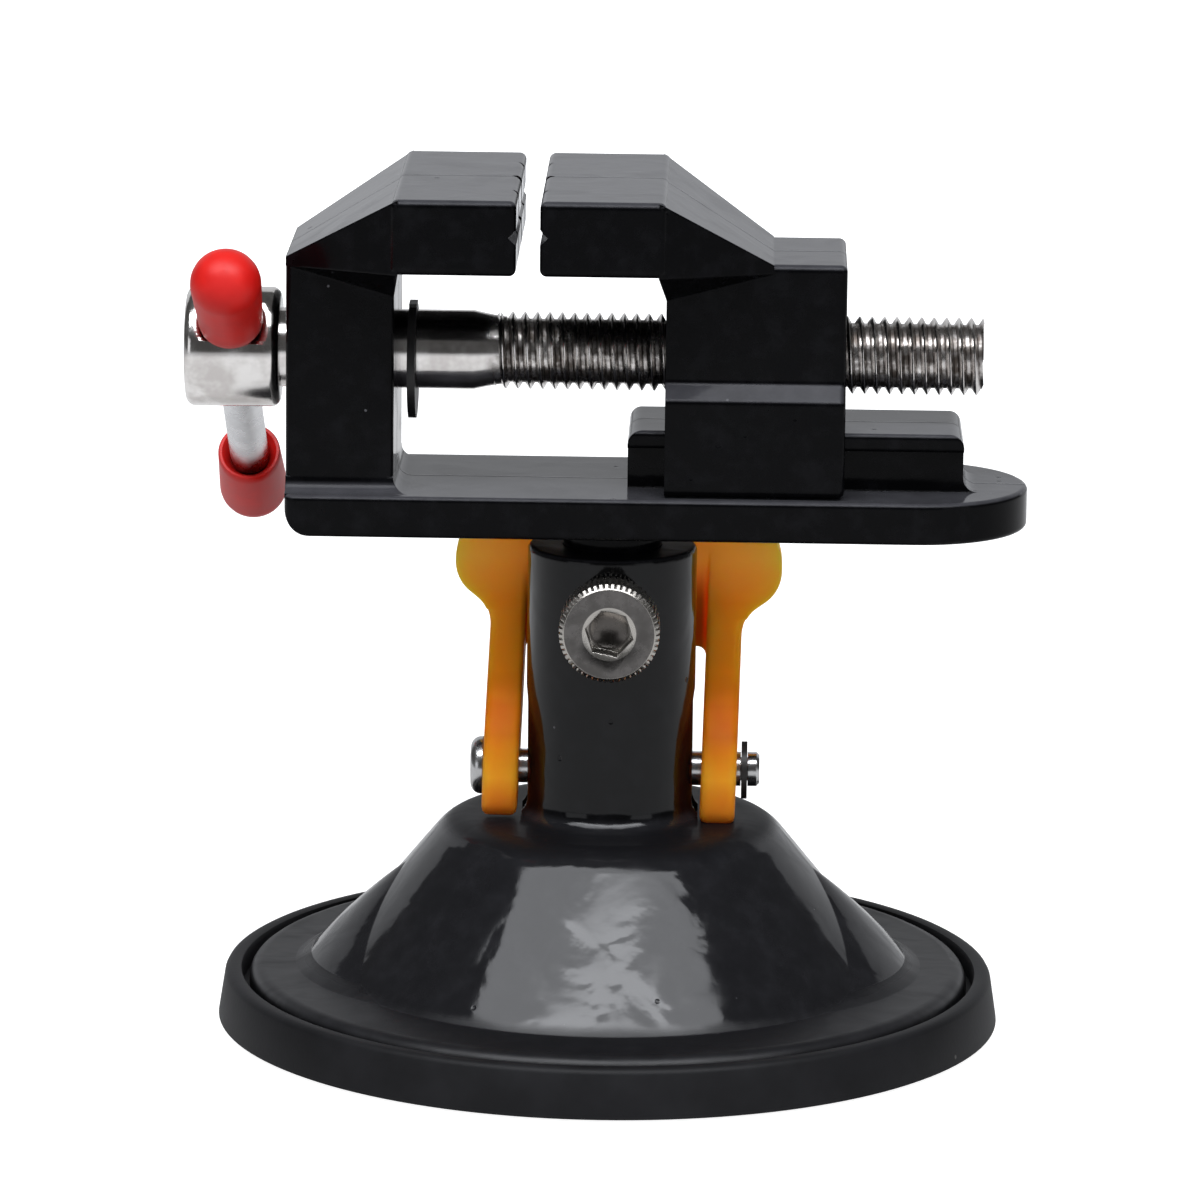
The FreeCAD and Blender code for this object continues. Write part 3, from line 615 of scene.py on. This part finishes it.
def lathe(name, stations, sides):
    # a turned piece: a filled ring about the Z axis, extruded and scaled from one station to the next;
    # a station is (height, radius)
    clearSelection()
    bpy.ops.mesh.primitive_circle_add(vertices=sides, radius=stations[0][1], fill_type="NGON",
                                      location=(0, 0, stations[0][0]))
    piece = bpy.context.object
    piece.name = name
    openUp(piece)
    for (lower, wide), (upper, narrow) in zip(stations, stations[1:]):
        share = narrow / wide
        bpy.ops.mesh.extrude_region_move(TRANSFORM_OT_translate={"value": (0, 0, upper - lower)})
        bpy.ops.transform.resize(value=(share, share, 1), center_override=(0, 0, upper))
    closeUp(piece)
    return piece


def drawLine(name, points):
    # a line of edges: one vertex, extruded through (radius, height) points in the XZ plane
    clearSelection()
    bpy.ops.mesh.primitive_plane_add(size=1 * mm, location=(0, 0, 0))
    piece = bpy.context.object
    piece.name = name
    openUp(piece)
    bpy.ops.mesh.merge(type="CENTER")
    bpy.ops.transform.translate(value=(points[0][0], 0, points[0][1]))
    for (fromRadius, fromHeight), (toRadius, toHeight) in zip(points, points[1:]):
        step = (toRadius - fromRadius, 0, toHeight - fromHeight)
        bpy.ops.mesh.extrude_region_move(TRANSFORM_OT_translate={"value": step})
    bpy.ops.object.mode_set(mode="OBJECT")
    return piece


def spun(name, corners, steps):
    # a ring-shaped piece: a closed outline spun about the Z axis
    piece = drawLine(name, corners + corners[:1])
    openUp(piece)
    bpy.ops.mesh.remove_doubles(threshold=mergeReach)
    bpy.ops.mesh.spin(steps=steps, angle=fullTurn, center=(0, 0, 0), axis=(0, 0, 1))
    closeUp(piece)
    return piece


def quarter(radius, steps):
    # points of a quarter circle from (radius, 0) to (0, radius)
    angles = [math.radians(90 * step / steps) for step in range(steps + 1)]
    return [(radius * math.cos(angle), radius * math.sin(angle)) for angle in angles]


def settle(piece, turn, place):
    # bakes a turn and a place into the mesh
    piece.rotation_euler = turn
    piece.location = place
    choose(piece)
    bpy.ops.object.transform_apply(location=True, rotation=True, scale=True)


def carve(piece, tool, way="DIFFERENCE"):
    cut = piece.modifiers.new("cut", "BOOLEAN")
    cut.operation = way
    cut.solver = "EXACT"
    cut.object = tool
    choose(piece)
    bpy.ops.object.modifier_apply(modifier=cut.name)
    bpy.data.objects.remove(tool, do_unlink=True)


def bore(piece, radius, depth, place, turn, sides=holeSides):
    # cuts a round hole, or one with a few flats
    bpy.ops.mesh.primitive_cylinder_add(vertices=sides, radius=radius, depth=depth,
                                        location=place, rotation=turn)
    carve(piece, bpy.context.object)


def countersink(piece, floorRadius, radius, depth, top):
    # cuts a cone about the Z axis, its wide end at the top
    bpy.ops.mesh.primitive_cone_add(vertices=holeSides, radius1=floorRadius, radius2=radius,
                                    depth=depth, location=(0, 0, top - depth / 2))
    carve(piece, bpy.context.object)


def joinInto(piece, *others):
    choose(piece)
    for other in others:
        other.select_set(True)
    bpy.ops.object.join()


def shadeByAngle(piece, degrees):
    choose(piece)
    bpy.ops.object.shade_smooth_by_angle(angle=math.radians(degrees))


def wear(piece, material, body, slotName, *replaced):
    # a finished piece's material, its body (none for one left unattached) and the nodes it stands for
    piece.data.materials.clear()
    piece.data.materials.append(material)
    if body:
        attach(piece, body)
    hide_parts(*replaced)


def dress(material, *names):
    for name in names:
        node = nodes[name]
        node.data.materials.clear()
        node.data.materials.append(material)


# Lead screw: turned head and shank, with a rolled thread

screwLow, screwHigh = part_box("lead_screw")
screwAxis = (screwLow[2] + screwHigh[2]) / 2
leadScrew = {
    "sides": 96,
    "smoothAngle": 32,
    "headRadius": 6.05 * mm,
    "headLength": 9.5 * mm,
    "headRound": 0.9 * mm,
    "roundSteps": 5,
    "shank": 4.0 * mm,
    "groove": 3.0 * mm,
    "grooveStart": 22.4 * mm,   # places are measured from the head's left end
    "grooveEnd": 23.3 * mm,
    "shankEnd": 29.0 * mm,
    "reliefStart": 31.3 * mm,
    "reliefEnd": 32.3 * mm,
    "relief": 3.5 * mm,
    "reliefTaper": 0.1 * mm,
    "pitch": 1.25 * mm,
    "root": 3.23 * mm,
    "crest": 3.92 * mm,
    "crestRound": 0.04 * mm,
    "rootFlat": 0.26,           # flat and crest are shares of the pitch
    "crestFrom": 0.60,
    "crestTo": 0.72,
    "threadStart": 2.1 * mm,    # the thread's start and its rise lie this far before the relief's end
    "riseFrom": 2.5 * mm,
    "riseTo": 0.5 * mm,
    "trimUnder": 0.2 * mm,
    "trimOver": 0.02 * mm,
    "endChamfer": 0.7 * mm,
    "threadSteps": 56,
    "threadMerge": 0.001 * mm,
    "barHole": 2.15 * mm,
    "barAngle": 35,
}


def makeScrewBody(size):
    # heights run along the screw from the left end of its head
    bend = size["headRound"]
    inner = size["headRadius"] - bend
    far = size["headLength"] - bend
    corner = quarter(bend, size["roundSteps"])
    stations = [(0, inner)]
    stations += [(bend - along, inner + out) for along, out in corner[1:]]
    stations += [(far + along, inner + out) for out, along in corner]
    stations += [
        (size["headLength"], size["shank"]),
        (size["grooveStart"], size["shank"]),
        (size["grooveStart"], size["groove"]),
        (size["grooveEnd"], size["groove"]),
        (size["grooveEnd"], size["shank"]),
        (size["shankEnd"], size["shank"]),
        (size["reliefStart"], size["relief"]),
        (size["reliefEnd"], size["relief"] - size["reliefTaper"]),
    ]
    return lathe("leadScrew", stations, size["sides"])


def makeThread(size, low, high):
    # one pitch of the profile, carried round and along by a Screw modifier and trimmed to length
    pitch = size["pitch"]
    root = size["root"]
    crest = size["crest"]
    flank = crest - size["crestRound"]
    start = low - pitch
    thread = drawLine("thread", [
        (root, start),
        (root, start + size["rootFlat"] * pitch),
        (flank, start + size["crestFrom"] * pitch),
        (crest, start + (size["crestFrom"] + size["crestTo"]) / 2 * pitch),
        (flank, start + size["crestTo"] * pitch),
        (root, start + pitch),
    ])
    coil = thread.modifiers.new("coil", "SCREW")
    coil.axis = "Z"
    coil.screw_offset = pitch
    coil.angle = fullTurn
    coil.iterations = math.ceil((high - start) / pitch) + 1
    coil.steps = size["threadSteps"]
    coil.render_steps = size["threadSteps"]
    coil.use_merge_vertices = True
    coil.merge_threshold = size["threadMerge"]
    choose(thread)
    bpy.ops.object.modifier_apply(modifier=coil.name)
    bpy.ops.object.mode_set(mode="EDIT")
    for height, inner in ((low, True), (high, False)):
        bpy.ops.mesh.select_all(action="SELECT")
        bpy.ops.mesh.bisect(plane_co=(0, 0, height), plane_no=(0, 0, 1), use_fill=True,
                            clear_inner=inner, clear_outer=not inner)
    bpy.ops.mesh.select_all(action="SELECT")
    bpy.ops.mesh.normals_make_consistent(inside=False)
    bpy.ops.object.mode_set(mode="OBJECT")
    return thread


def makeLeadScrew(size):
    length = screwHigh[0] - screwLow[0]
    reliefEnd = size["reliefEnd"]
    outside = size["crest"] + size["trimOver"]
    screw = makeScrewBody(size)
    thread = makeThread(size, reliefEnd - size["threadStart"], length)
    envelope = lathe("envelope", [
        (reliefEnd - size["riseFrom"], size["root"] - size["trimUnder"]),
        (reliefEnd - size["riseTo"], outside),
        (length - size["endChamfer"], outside),
        (length, size["crest"] - size["endChamfer"]),
    ], size["sides"])
    carve(thread, envelope, "INTERSECT")
    joinInto(screw, thread)
    settle(screw, (0, math.radians(90), 0), (screwLow[0], 0, screwAxis))
    headMiddle = (screwLow[0] + size["headLength"] / 2, 0, screwAxis)
    bore(screw, size["barHole"], 4 * size["headRadius"], headMiddle,
         (math.radians(90 - size["barAngle"]), 0, 0))
    shadeByAngle(screw, size["smoothAngle"])
    steel = mixScrewSteel(screwSteel, screwAxis, size["root"], size["crest"])
    wear(screw, steel, "screw", "screw_steel", "lead_screw")


makeLeadScrew(leadScrew)
print("lead screw turned and threaded")


# Lock screw: a knurled cap head with a hexagon socket

lockLow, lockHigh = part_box("lock_screw")
lockScrew = {
    "smoothAngle": 28,
    "teeth": 52,
    "sidesPerTooth": 4,
    "toothDepth": 0.20 * mm,
    "toothReach": 0.05 * mm,
    "headRadius": 5.05 * mm,
    "headLength": 4.5 * mm,
    "backChamfer": 0.3 * mm,
    "chamfer": 0.5 * mm,
    "chamferSoft": 0.75,        # how far across the chamfer its slope eases, and how deep that is
    "chamferDrop": 0.12 * mm,
    "faceRing": 0.86,           # the face's inner ring, as a share of the head's radius
    "shank": 3.0 * mm,
    "tip": 2.0 * mm,
    "tipLength": 0.95 * mm,
    "flats": 4.3 * mm,
    "socketTurn": 18,
    "socketDepth": 2.4 * mm,
    "drillRadius": 1.9 * mm,
    "drillSlope": 0.6,
    "sinkRadius": 2.72 * mm,
    "sinkFloor": 0.78,
    "sinkDepth": 0.30 * mm,
}


def cutKnurl(screw, size):
    # draws one in every few points of the head's wall in towards the axis
    sides = size["teeth"] * size["sidesPerTooth"]
    wall = size["headRadius"] - size["toothReach"]
    share = 1 - size["toothDepth"] / size["headRadius"]
    choose(screw)
    bpy.ops.object.mode_set(mode="EDIT")
    bpy.ops.mesh.select_mode(type="VERT")
    bpy.ops.mesh.select_all(action="DESELECT")
    bpy.ops.object.mode_set(mode="OBJECT")
    for vertex in screw.data.vertices:
        step = round(math.atan2(vertex.co.y, vertex.co.x) / fullTurn * sides)
        vertex.select = vertex.co.xy.length > wall and step % size["sidesPerTooth"] == 0
    bpy.ops.object.mode_set(mode="EDIT")
    bpy.ops.transform.resize(value=(share, share, 1), center_override=(0, 0, 0))
    bpy.ops.object.mode_set(mode="OBJECT")


def makeLockScrew(size):
    # heights run from the screw's inner tip to the face of its head
    length = lockHigh[1] - lockLow[1]
    middle = (lockLow[2] + lockHigh[2]) / 2
    back = length - size["headLength"]
    wide = size["headRadius"]
    screw = lathe("lockScrew", [
        (0, size["tip"]),
        (size["tipLength"], size["tip"]),
        (size["tipLength"], size["shank"]),
        (back, size["shank"]),
        (back, wide - size["backChamfer"]),
        (back + size["backChamfer"], wide),
        (length - size["chamfer"], wide),
        (length - size["chamferDrop"], wide - size["chamfer"] * size["chamferSoft"]),
        (length, wide - size["chamfer"]),
        (length, wide * size["faceRing"]),
    ], size["teeth"] * size["sidesPerTooth"])
    cutKnurl(screw, size)
    corner = size["flats"] / 2 / math.cos(math.radians(30))
    drill = size["drillRadius"]
    sink = size["sinkRadius"]
    bore(screw, corner, 2 * size["socketDepth"], (0, 0, length),
         (0, 0, math.radians(size["socketTurn"])), sides=6)
    countersink(screw, 0, drill, drill * size["drillSlope"], length - size["socketDepth"] + proud)
    countersink(screw, sink * size["sinkFloor"], sink, size["sinkDepth"], length + proud)
    settle(screw, (math.radians(90), 0, 0), (0, lockHigh[1], middle))
    shadeByAngle(screw, size["smoothAngle"])
    wear(screw, mixLockSteel(lockSteel, middle, size), "lock", "lock_steel", "lock_screw")


makeLockScrew(lockScrew)
print("lock screw knurled")


# Suction cup: a stiff outer lip on the base's body, and a membrane in the middle, attached to no body

suctionCup = {
    "steps": 144,
    "smoothAngle": 40,
    "split": 31.0 * mm,
    "lipRadius": 39.2 * mm,
    "lipFlare": 0.8 * mm,
    "height": 5.0 * mm,
    "lipWall": 1.7 * mm,
    # rounded corners: in from the outer wall and up, in from the lip's radius and down from its top,
    # and out from the inner wall and down
    "foot": [(0.3 * mm, 0), (0.05 * mm, 0.12 * mm), (0.1 * mm, 0.5 * mm)],
    "crown": [(0.1 * mm, 0.24 * mm), (0.4 * mm, 0.06 * mm), (0.65 * mm, 0)],
    "crownInside": [(0.45 * mm, 0), (0.15 * mm, 0.1 * mm), (0, 0.45 * mm)],
    "web": 2.8 * mm,
    "webInner": 27.5 * mm,
    "land": 2.5 * mm,
    "edge": 0.6 * mm,
    "edgeSoft": 0.3,
    "hollowDepth": 3.6 * mm,
    "hollowFlat": 12.0 * mm,
    "hub": 13.5 * mm,
    "hubFoot": 15.5 * mm,
    "hubFootHeight": 5.6 * mm,
    "footOut": (0.6 * mm, 0.1 * mm),
    "footIn": (0.2 * mm, 0.3 * mm),
    "hubTop": 8.4 * mm,
    "neck": 4.05 * mm,
    "skin": 0.4 * mm,
}


def makeRim(size, underSplit):
    outer = size["lipRadius"] + size["lipFlare"]
    inner = size["lipRadius"] - size["lipWall"]
    top = size["height"]
    slant = size["lipFlare"] / top
    corners = [(outer - size["land"], 0)]
    corners += [(outer - across, up) for across, up in size["foot"]]
    corners += [(size["lipRadius"] + size["edge"] * slant, top - size["edge"])]
    corners += [(size["lipRadius"] - across, top - down) for across, down in size["crown"]]
    corners += [(inner + across, top - down) for across, down in size["crownInside"]]
    corners += [(inner, size["web"]), (size["split"], size["web"]), (size["split"], underSplit)]
    return spun("cupRim", corners, size["steps"])


def makeMembrane(size, underSplit):
    edge = size["edge"]
    soft = edge * size["edgeSoft"]
    outAcross, outDown = size["footOut"]
    inAcross, inUp = size["footIn"]
    skinTop = size["hollowDepth"] + size["skin"]
    return spun("cupMembrane", [
        (size["split"], underSplit),
        (size["split"], size["web"]),
        (size["webInner"], size["web"]),
        (size["hubFoot"] + outAcross, size["hubFootHeight"] - outDown),
        (size["hubFoot"] - inAcross, size["hubFootHeight"] + inUp),
        (size["hub"], size["hubTop"] - edge),
        (size["hub"] - soft, size["hubTop"] - soft),
        (size["hub"] - edge, size["hubTop"]),
        (size["neck"], size["hubTop"]),
        (size["neck"], skinTop),
        (axisGap, skinTop),
        (axisGap, size["hollowDepth"]),
        (size["hollowFlat"], size["hollowDepth"]),
    ], size["steps"])


def makeCup(size, material):
    land = size["lipRadius"] + size["lipFlare"] - size["land"]
    underSplit = (land - size["split"]) * size["hollowDepth"] / (land - size["hollowFlat"])
    rim = makeRim(size, underSplit)
    shadeByAngle(rim, size["smoothAngle"])
    wear(rim, material, "base", "cup_rubber", "suction_cup")
    membrane = makeMembrane(size, underSplit)
    shadeByAngle(membrane, size["smoothAngle"])
    wear(membrane, material, None, "cup_rubber", "suction_cup")
    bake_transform(membrane)


makeCup(suctionCup, mixRubber(rubber))
print("suction cup moulded")


# Soft red caps on the sliding bar

barCap = {
    "steps": 72,
    "smoothAngle": 40,
    "length": 12.0 * mm,
    "mouth": 3.25 * mm,
    "wide": 3.68 * mm,
    "bore": 2.02 * mm,
    "boreDepth": 8.0 * mm,
    "flare": 2.75 * mm,
    "flareDepth": 1.6 * mm,
    "flareRound": 0.1 * mm,
    "flareLip": 0.02 * mm,
    "mouthRound": 0.15 * mm,
    "lipHeight": 0.25 * mm,
    "collar": 0.03 * mm,
    "collarHeight": 1.2 * mm,
    "dome": 3.5 * mm,
    "domeSteps": 9,
    "seat": 6.15 * mm,          # from the screw's axis to the upper cap's mouth
    "travel": 20.0 * mm,
}


def makeBarCap(name, size, upwards, start, material, replaced):
    # drawn with its mouth at height zero and its dome up, then set on the bar's line
    neck = size["length"] - size["dome"]
    wideAt = size["mouth"] + (size["wide"] - size["mouth"]) * neck / size["length"]
    bend = quarter(1, size["domeSteps"])[1:-1]
    dome = [(wideAt * across, neck + size["dome"] * up) for across, up in bend]
    cap = spun(name, [
        (size["bore"], size["flareDepth"]),
        (size["flare"] - size["flareRound"], size["lipHeight"]),
        (size["flare"] + size["flareRound"], size["flareLip"]),
        (size["mouth"] - size["mouthRound"], 0),
        (size["mouth"], size["lipHeight"]),
        (size["mouth"] + size["collar"], size["collarHeight"]),
        (wideAt, neck),
    ] + dome + [
        (axisGap, size["length"]),
        (axisGap, size["boreDepth"]),
        (size["bore"], size["boreDepth"]),
    ], size["steps"])
    angle = math.radians(leadScrew["barAngle"])
    axis = Vector((0, -math.cos(angle), math.sin(angle)))
    middle = Vector((screwLow[0] + leadScrew["headLength"] / 2, 0, screwAxis))
    lean = math.radians(90 - leadScrew["barAngle"])
    turn = lean if upwards else lean + math.pi
    settle(cap, (turn, 0, 0), middle + axis * start)
    shadeByAngle(cap, size["smoothAngle"])
    wear(cap, material, "bar", "cap_plastic", replaced)


capPlastic = mixCap(redPlastic)
makeBarCap("upperCap", barCap, True, barCap["seat"], capPlastic, "upper_bar_cap")
makeBarCap("lowerCap", barCap, False, -barCap["seat"] - barCap["travel"], capPlastic,
           "lower_bar_cap")
print("bar caps made")


# Clamping lever: the moulding with its edges rounded

clampLever = {
    "edge": 0.75 * mm,
    "segments": 3,
    "sharpAngle": 40,
    "flatAngle": 1.5,
    "smoothAngle": 35,
    "armTop": 40.45 * mm,
    "armInside": 9.295 * mm,
    "holeRadius": 1.85 * mm,
    "pinHeight": 25.9 * mm,
    "lean": 1.5,
}


def roundArms(lever, size):
    # rounds the sharp edges of both arms and feet, but not those of the pin's holes
    bpy.ops.mesh.select_mode(type="EDGE")
    bpy.ops.mesh.select_all(action="DESELECT")
    bpy.ops.mesh.edges_select_sharp(sharpness=math.radians(size["sharpAngle"]))
    bpy.ops.object.mode_set(mode="OBJECT")
    for edge in lever.data.edges:
        ends = [lever.data.vertices[index].co for index in edge.vertices]
        onArm = all(end.z < size["armTop"] and abs(end.x) > size["armInside"] for end in ends)
        onHole = all(math.hypot(end.y, end.z - size["pinHeight"]) < size["holeRadius"] for end in ends)
        edge.select = edge.select and onArm and not onHole
    bpy.ops.object.mode_set(mode="EDIT")
    bpy.ops.mesh.bevel(offset=size["edge"], segments=size["segments"], affect="EDGES",
                       clamp_overlap=False)
    bpy.ops.object.mode_set(mode="OBJECT")


def makeLever(size):
    # a copy of the frame's lever, its loose triangles merged into plain faces
    clearSelection()
    lever = nodes["clamp_lever"].copy()
    lever.data = nodes["clamp_lever"].data.copy()
    lever.name = "leverMoulding"
    lever.parent = None
    bpy.context.scene.collection.objects.link(lever)
    closeUp(lever)
    openUp(lever)
    bpy.ops.mesh.dissolve_limited(angle_limit=math.radians(size["flatAngle"]))
    roundArms(lever, size)
    rounding = lever.modifiers.new("rounding", "BEVEL")
    rounding.width = size["edge"]
    rounding.segments = size["segments"]
    rounding.limit_method = "ANGLE"
    rounding.angle_limit = math.radians(size["sharpAngle"])
    choose(lever)
    bpy.ops.object.modifier_apply(modifier=rounding.name)
    lean = Matrix.Rotation(math.radians(size["lean"]), 4, "Y")
    pin = Matrix.Translation((0, 0, size["pinHeight"]))
    lever.matrix_world = pin @ lean @ pin.inverted()
    bpy.ops.object.transform_apply(location=True, rotation=True, scale=True)
    shadeByAngle(lever, size["smoothAngle"])
    wear(lever, mixOrange(orange), "lever", "lever_plastic", "clamp_lever")


makeLever(clampLever)
print("lever rounded")


# Pieces that keep the frame's own shape

dress(mixBellPaint(bellPaint), "base_casting")
dress(mixVisePaint(visePaint), "vise_body", "moving_jaw")
dress(mixOxide(oxide), "lever_pin_clip", "screw_clip")
dress(mixSteel(barSteel), "tommy_bar")
dress(mixSteel(pinSteel), "pull_stud", "lever_pin")

print("frame dressed")


# Stage, light and camera

studio = {
    "floorSize": 4.0,
    "floorDrop": 0.2 * mm,
    "floorColour": (0.40, 0.40, 0.40, 1),
    "floorGlow": 0.92,
    "mirrorGlow": 0.3,
    "mirrorNear": 0.34,         # mirrors see the floor's glow within these distances of the middle
    "mirrorFar": 0.50,
    "ambient": 0.08,
    "lampColour": (0.94, 0.96, 1.0),
}
lamps = {
    # name: place, aim, width, height, power, and whether mirrors show it
    "overhead": ((-0.04, -0.395, 0.920), (0, -0.0255, 0.013), 1.45, 0.40, 12.7, True),
    "overheadFront": ((0.0, -0.526, 0.937), (0, -0.0255, 0.013), 1.45, 0.11, 4.6, True),
    "backWall": ((0.0, 1.3, 0.45), (0, 0, 0.06), 2.6, 1.1, 5.5, True),
    "backLow": ((0.0, 0.6, 0.11), (0, 0, 0.045), 0.9, 0.14, 2.5, False),
    "softFront": ((0.0, -1.2, 0.36), (0, 0, 0.05), 1.4, 0.6, 6.5, False),
    "leftFront": ((-0.85, -0.85, 0.22), (0, 0, 0.05), 0.6, 0.5, 0.9, True),
    "rightFront": ((0.85, -0.85, 0.22), (0, 0, 0.05), 0.6, 0.5, 0.9, True),
}
shot = {
    "place": (0.01305, -0.7157, 0.1988),
    "aim": (-0.00122, 0.0, 0.04332),
    "lens": 216.1,
    "sensor": 36.0,
    "roll": 0.63,
    "nearest": 0.05,
    "farthest": 20.0,
}


def lookAt(place, aim):
    return (Vector(aim) - Vector(place)).to_track_quat("-Z", "Y")


def makeStage():
    # a plain floor that takes shadows, and glows besides where the camera or a mirror sees it
    shop = Shop("palePaper")
    plain = shop.node("BsdfDiffuse", None, {"Color": studio["floorColour"]})
    seen = shop.node("LightPath", output="Is Camera Ray")
    mirrored = shop.node("LightPath", output="Is Glossy Ray")
    away = shop.node("VectorMath", {"operation": "LENGTH"}, {0: shop.objectPlace()}, "Value")
    near = shop.window(away, studio["mirrorFar"], studio["mirrorNear"])
    strength = seen * studio["floorGlow"] + mirrored * near * studio["mirrorGlow"]
    glow = shop.node("Emission", None, {"Color": (1, 1, 1, 1), "Strength": strength})
    paper = shop.show(shop.node("AddShader", None, {0: plain, 1: glow}))
    clearSelection()
    bpy.ops.mesh.primitive_plane_add(size=studio["floorSize"], location=(0, 0, -studio["floorDrop"]))
    floor = bpy.context.object
    floor.name = "floor"
    floor.data.materials.append(paper)


def makeWorld():
    # white where the camera sees it, itself or through something clear, and dim for all other light
    world = bpy.data.worlds.new("studio")
    bpy.context.scene.world = world
    world.use_nodes = True
    tree = world.node_tree
    tree.nodes.clear()
    path = tree.nodes.new("ShaderNodeLightPath")
    shown = tree.nodes.new("ShaderNodeMath")
    shown.operation = "MAXIMUM"
    tree.links.new(path.outputs["Is Camera Ray"], shown.inputs[0])
    tree.links.new(path.outputs["Is Transmission Ray"], shown.inputs[1])
    strength = tree.nodes.new("ShaderNodeMapRange")
    strength.inputs["To Min"].default_value = studio["ambient"]
    strength.inputs["To Max"].default_value = 1.0
    tree.links.new(shown.outputs[0], strength.inputs["Value"])
    back = tree.nodes.new("ShaderNodeBackground")
    back.inputs["Color"].default_value = (1, 1, 1, 1)
    tree.links.new(strength.outputs[0], back.inputs["Strength"])
    out = tree.nodes.new("ShaderNodeOutputWorld")
    tree.links.new(back.outputs[0], out.inputs["Surface"])


def makeLamps():
    for name, (place, aim, width, height, power, mirrored) in lamps.items():
        data = bpy.data.lights.new(name, "AREA")
        data.shape = "RECTANGLE"
        data.size = width
        data.size_y = height
        data.energy = power
        data.color = studio["lampColour"]
        lamp = bpy.data.objects.new(name, data)
        bpy.context.scene.collection.objects.link(lamp)
        lamp.location = place
        lamp.visible_glossy = mirrored
        lamp.rotation_euler = lookAt(place, aim).to_euler()


def makeCamera():
    data = bpy.data.cameras.new("camera")
    data.lens = shot["lens"]
    data.sensor_width = shot["sensor"]
    data.clip_start = shot["nearest"]
    data.clip_end = shot["farthest"]
    camera = bpy.data.objects.new("camera", data)
    bpy.context.scene.collection.objects.link(camera)
    camera.location = shot["place"]
    look = lookAt(shot["place"], shot["aim"]).to_matrix().to_4x4()
    roll = Matrix.Rotation(math.radians(shot["roll"]), 4, "Z")
    camera.rotation_euler = (look @ roll).to_euler()
    bpy.context.scene.camera = camera


bpy.context.scene.view_settings.view_transform = "Standard"
makeStage()
makeWorld()
makeLamps()
makeCamera()

print("stage, lamps and camera set")
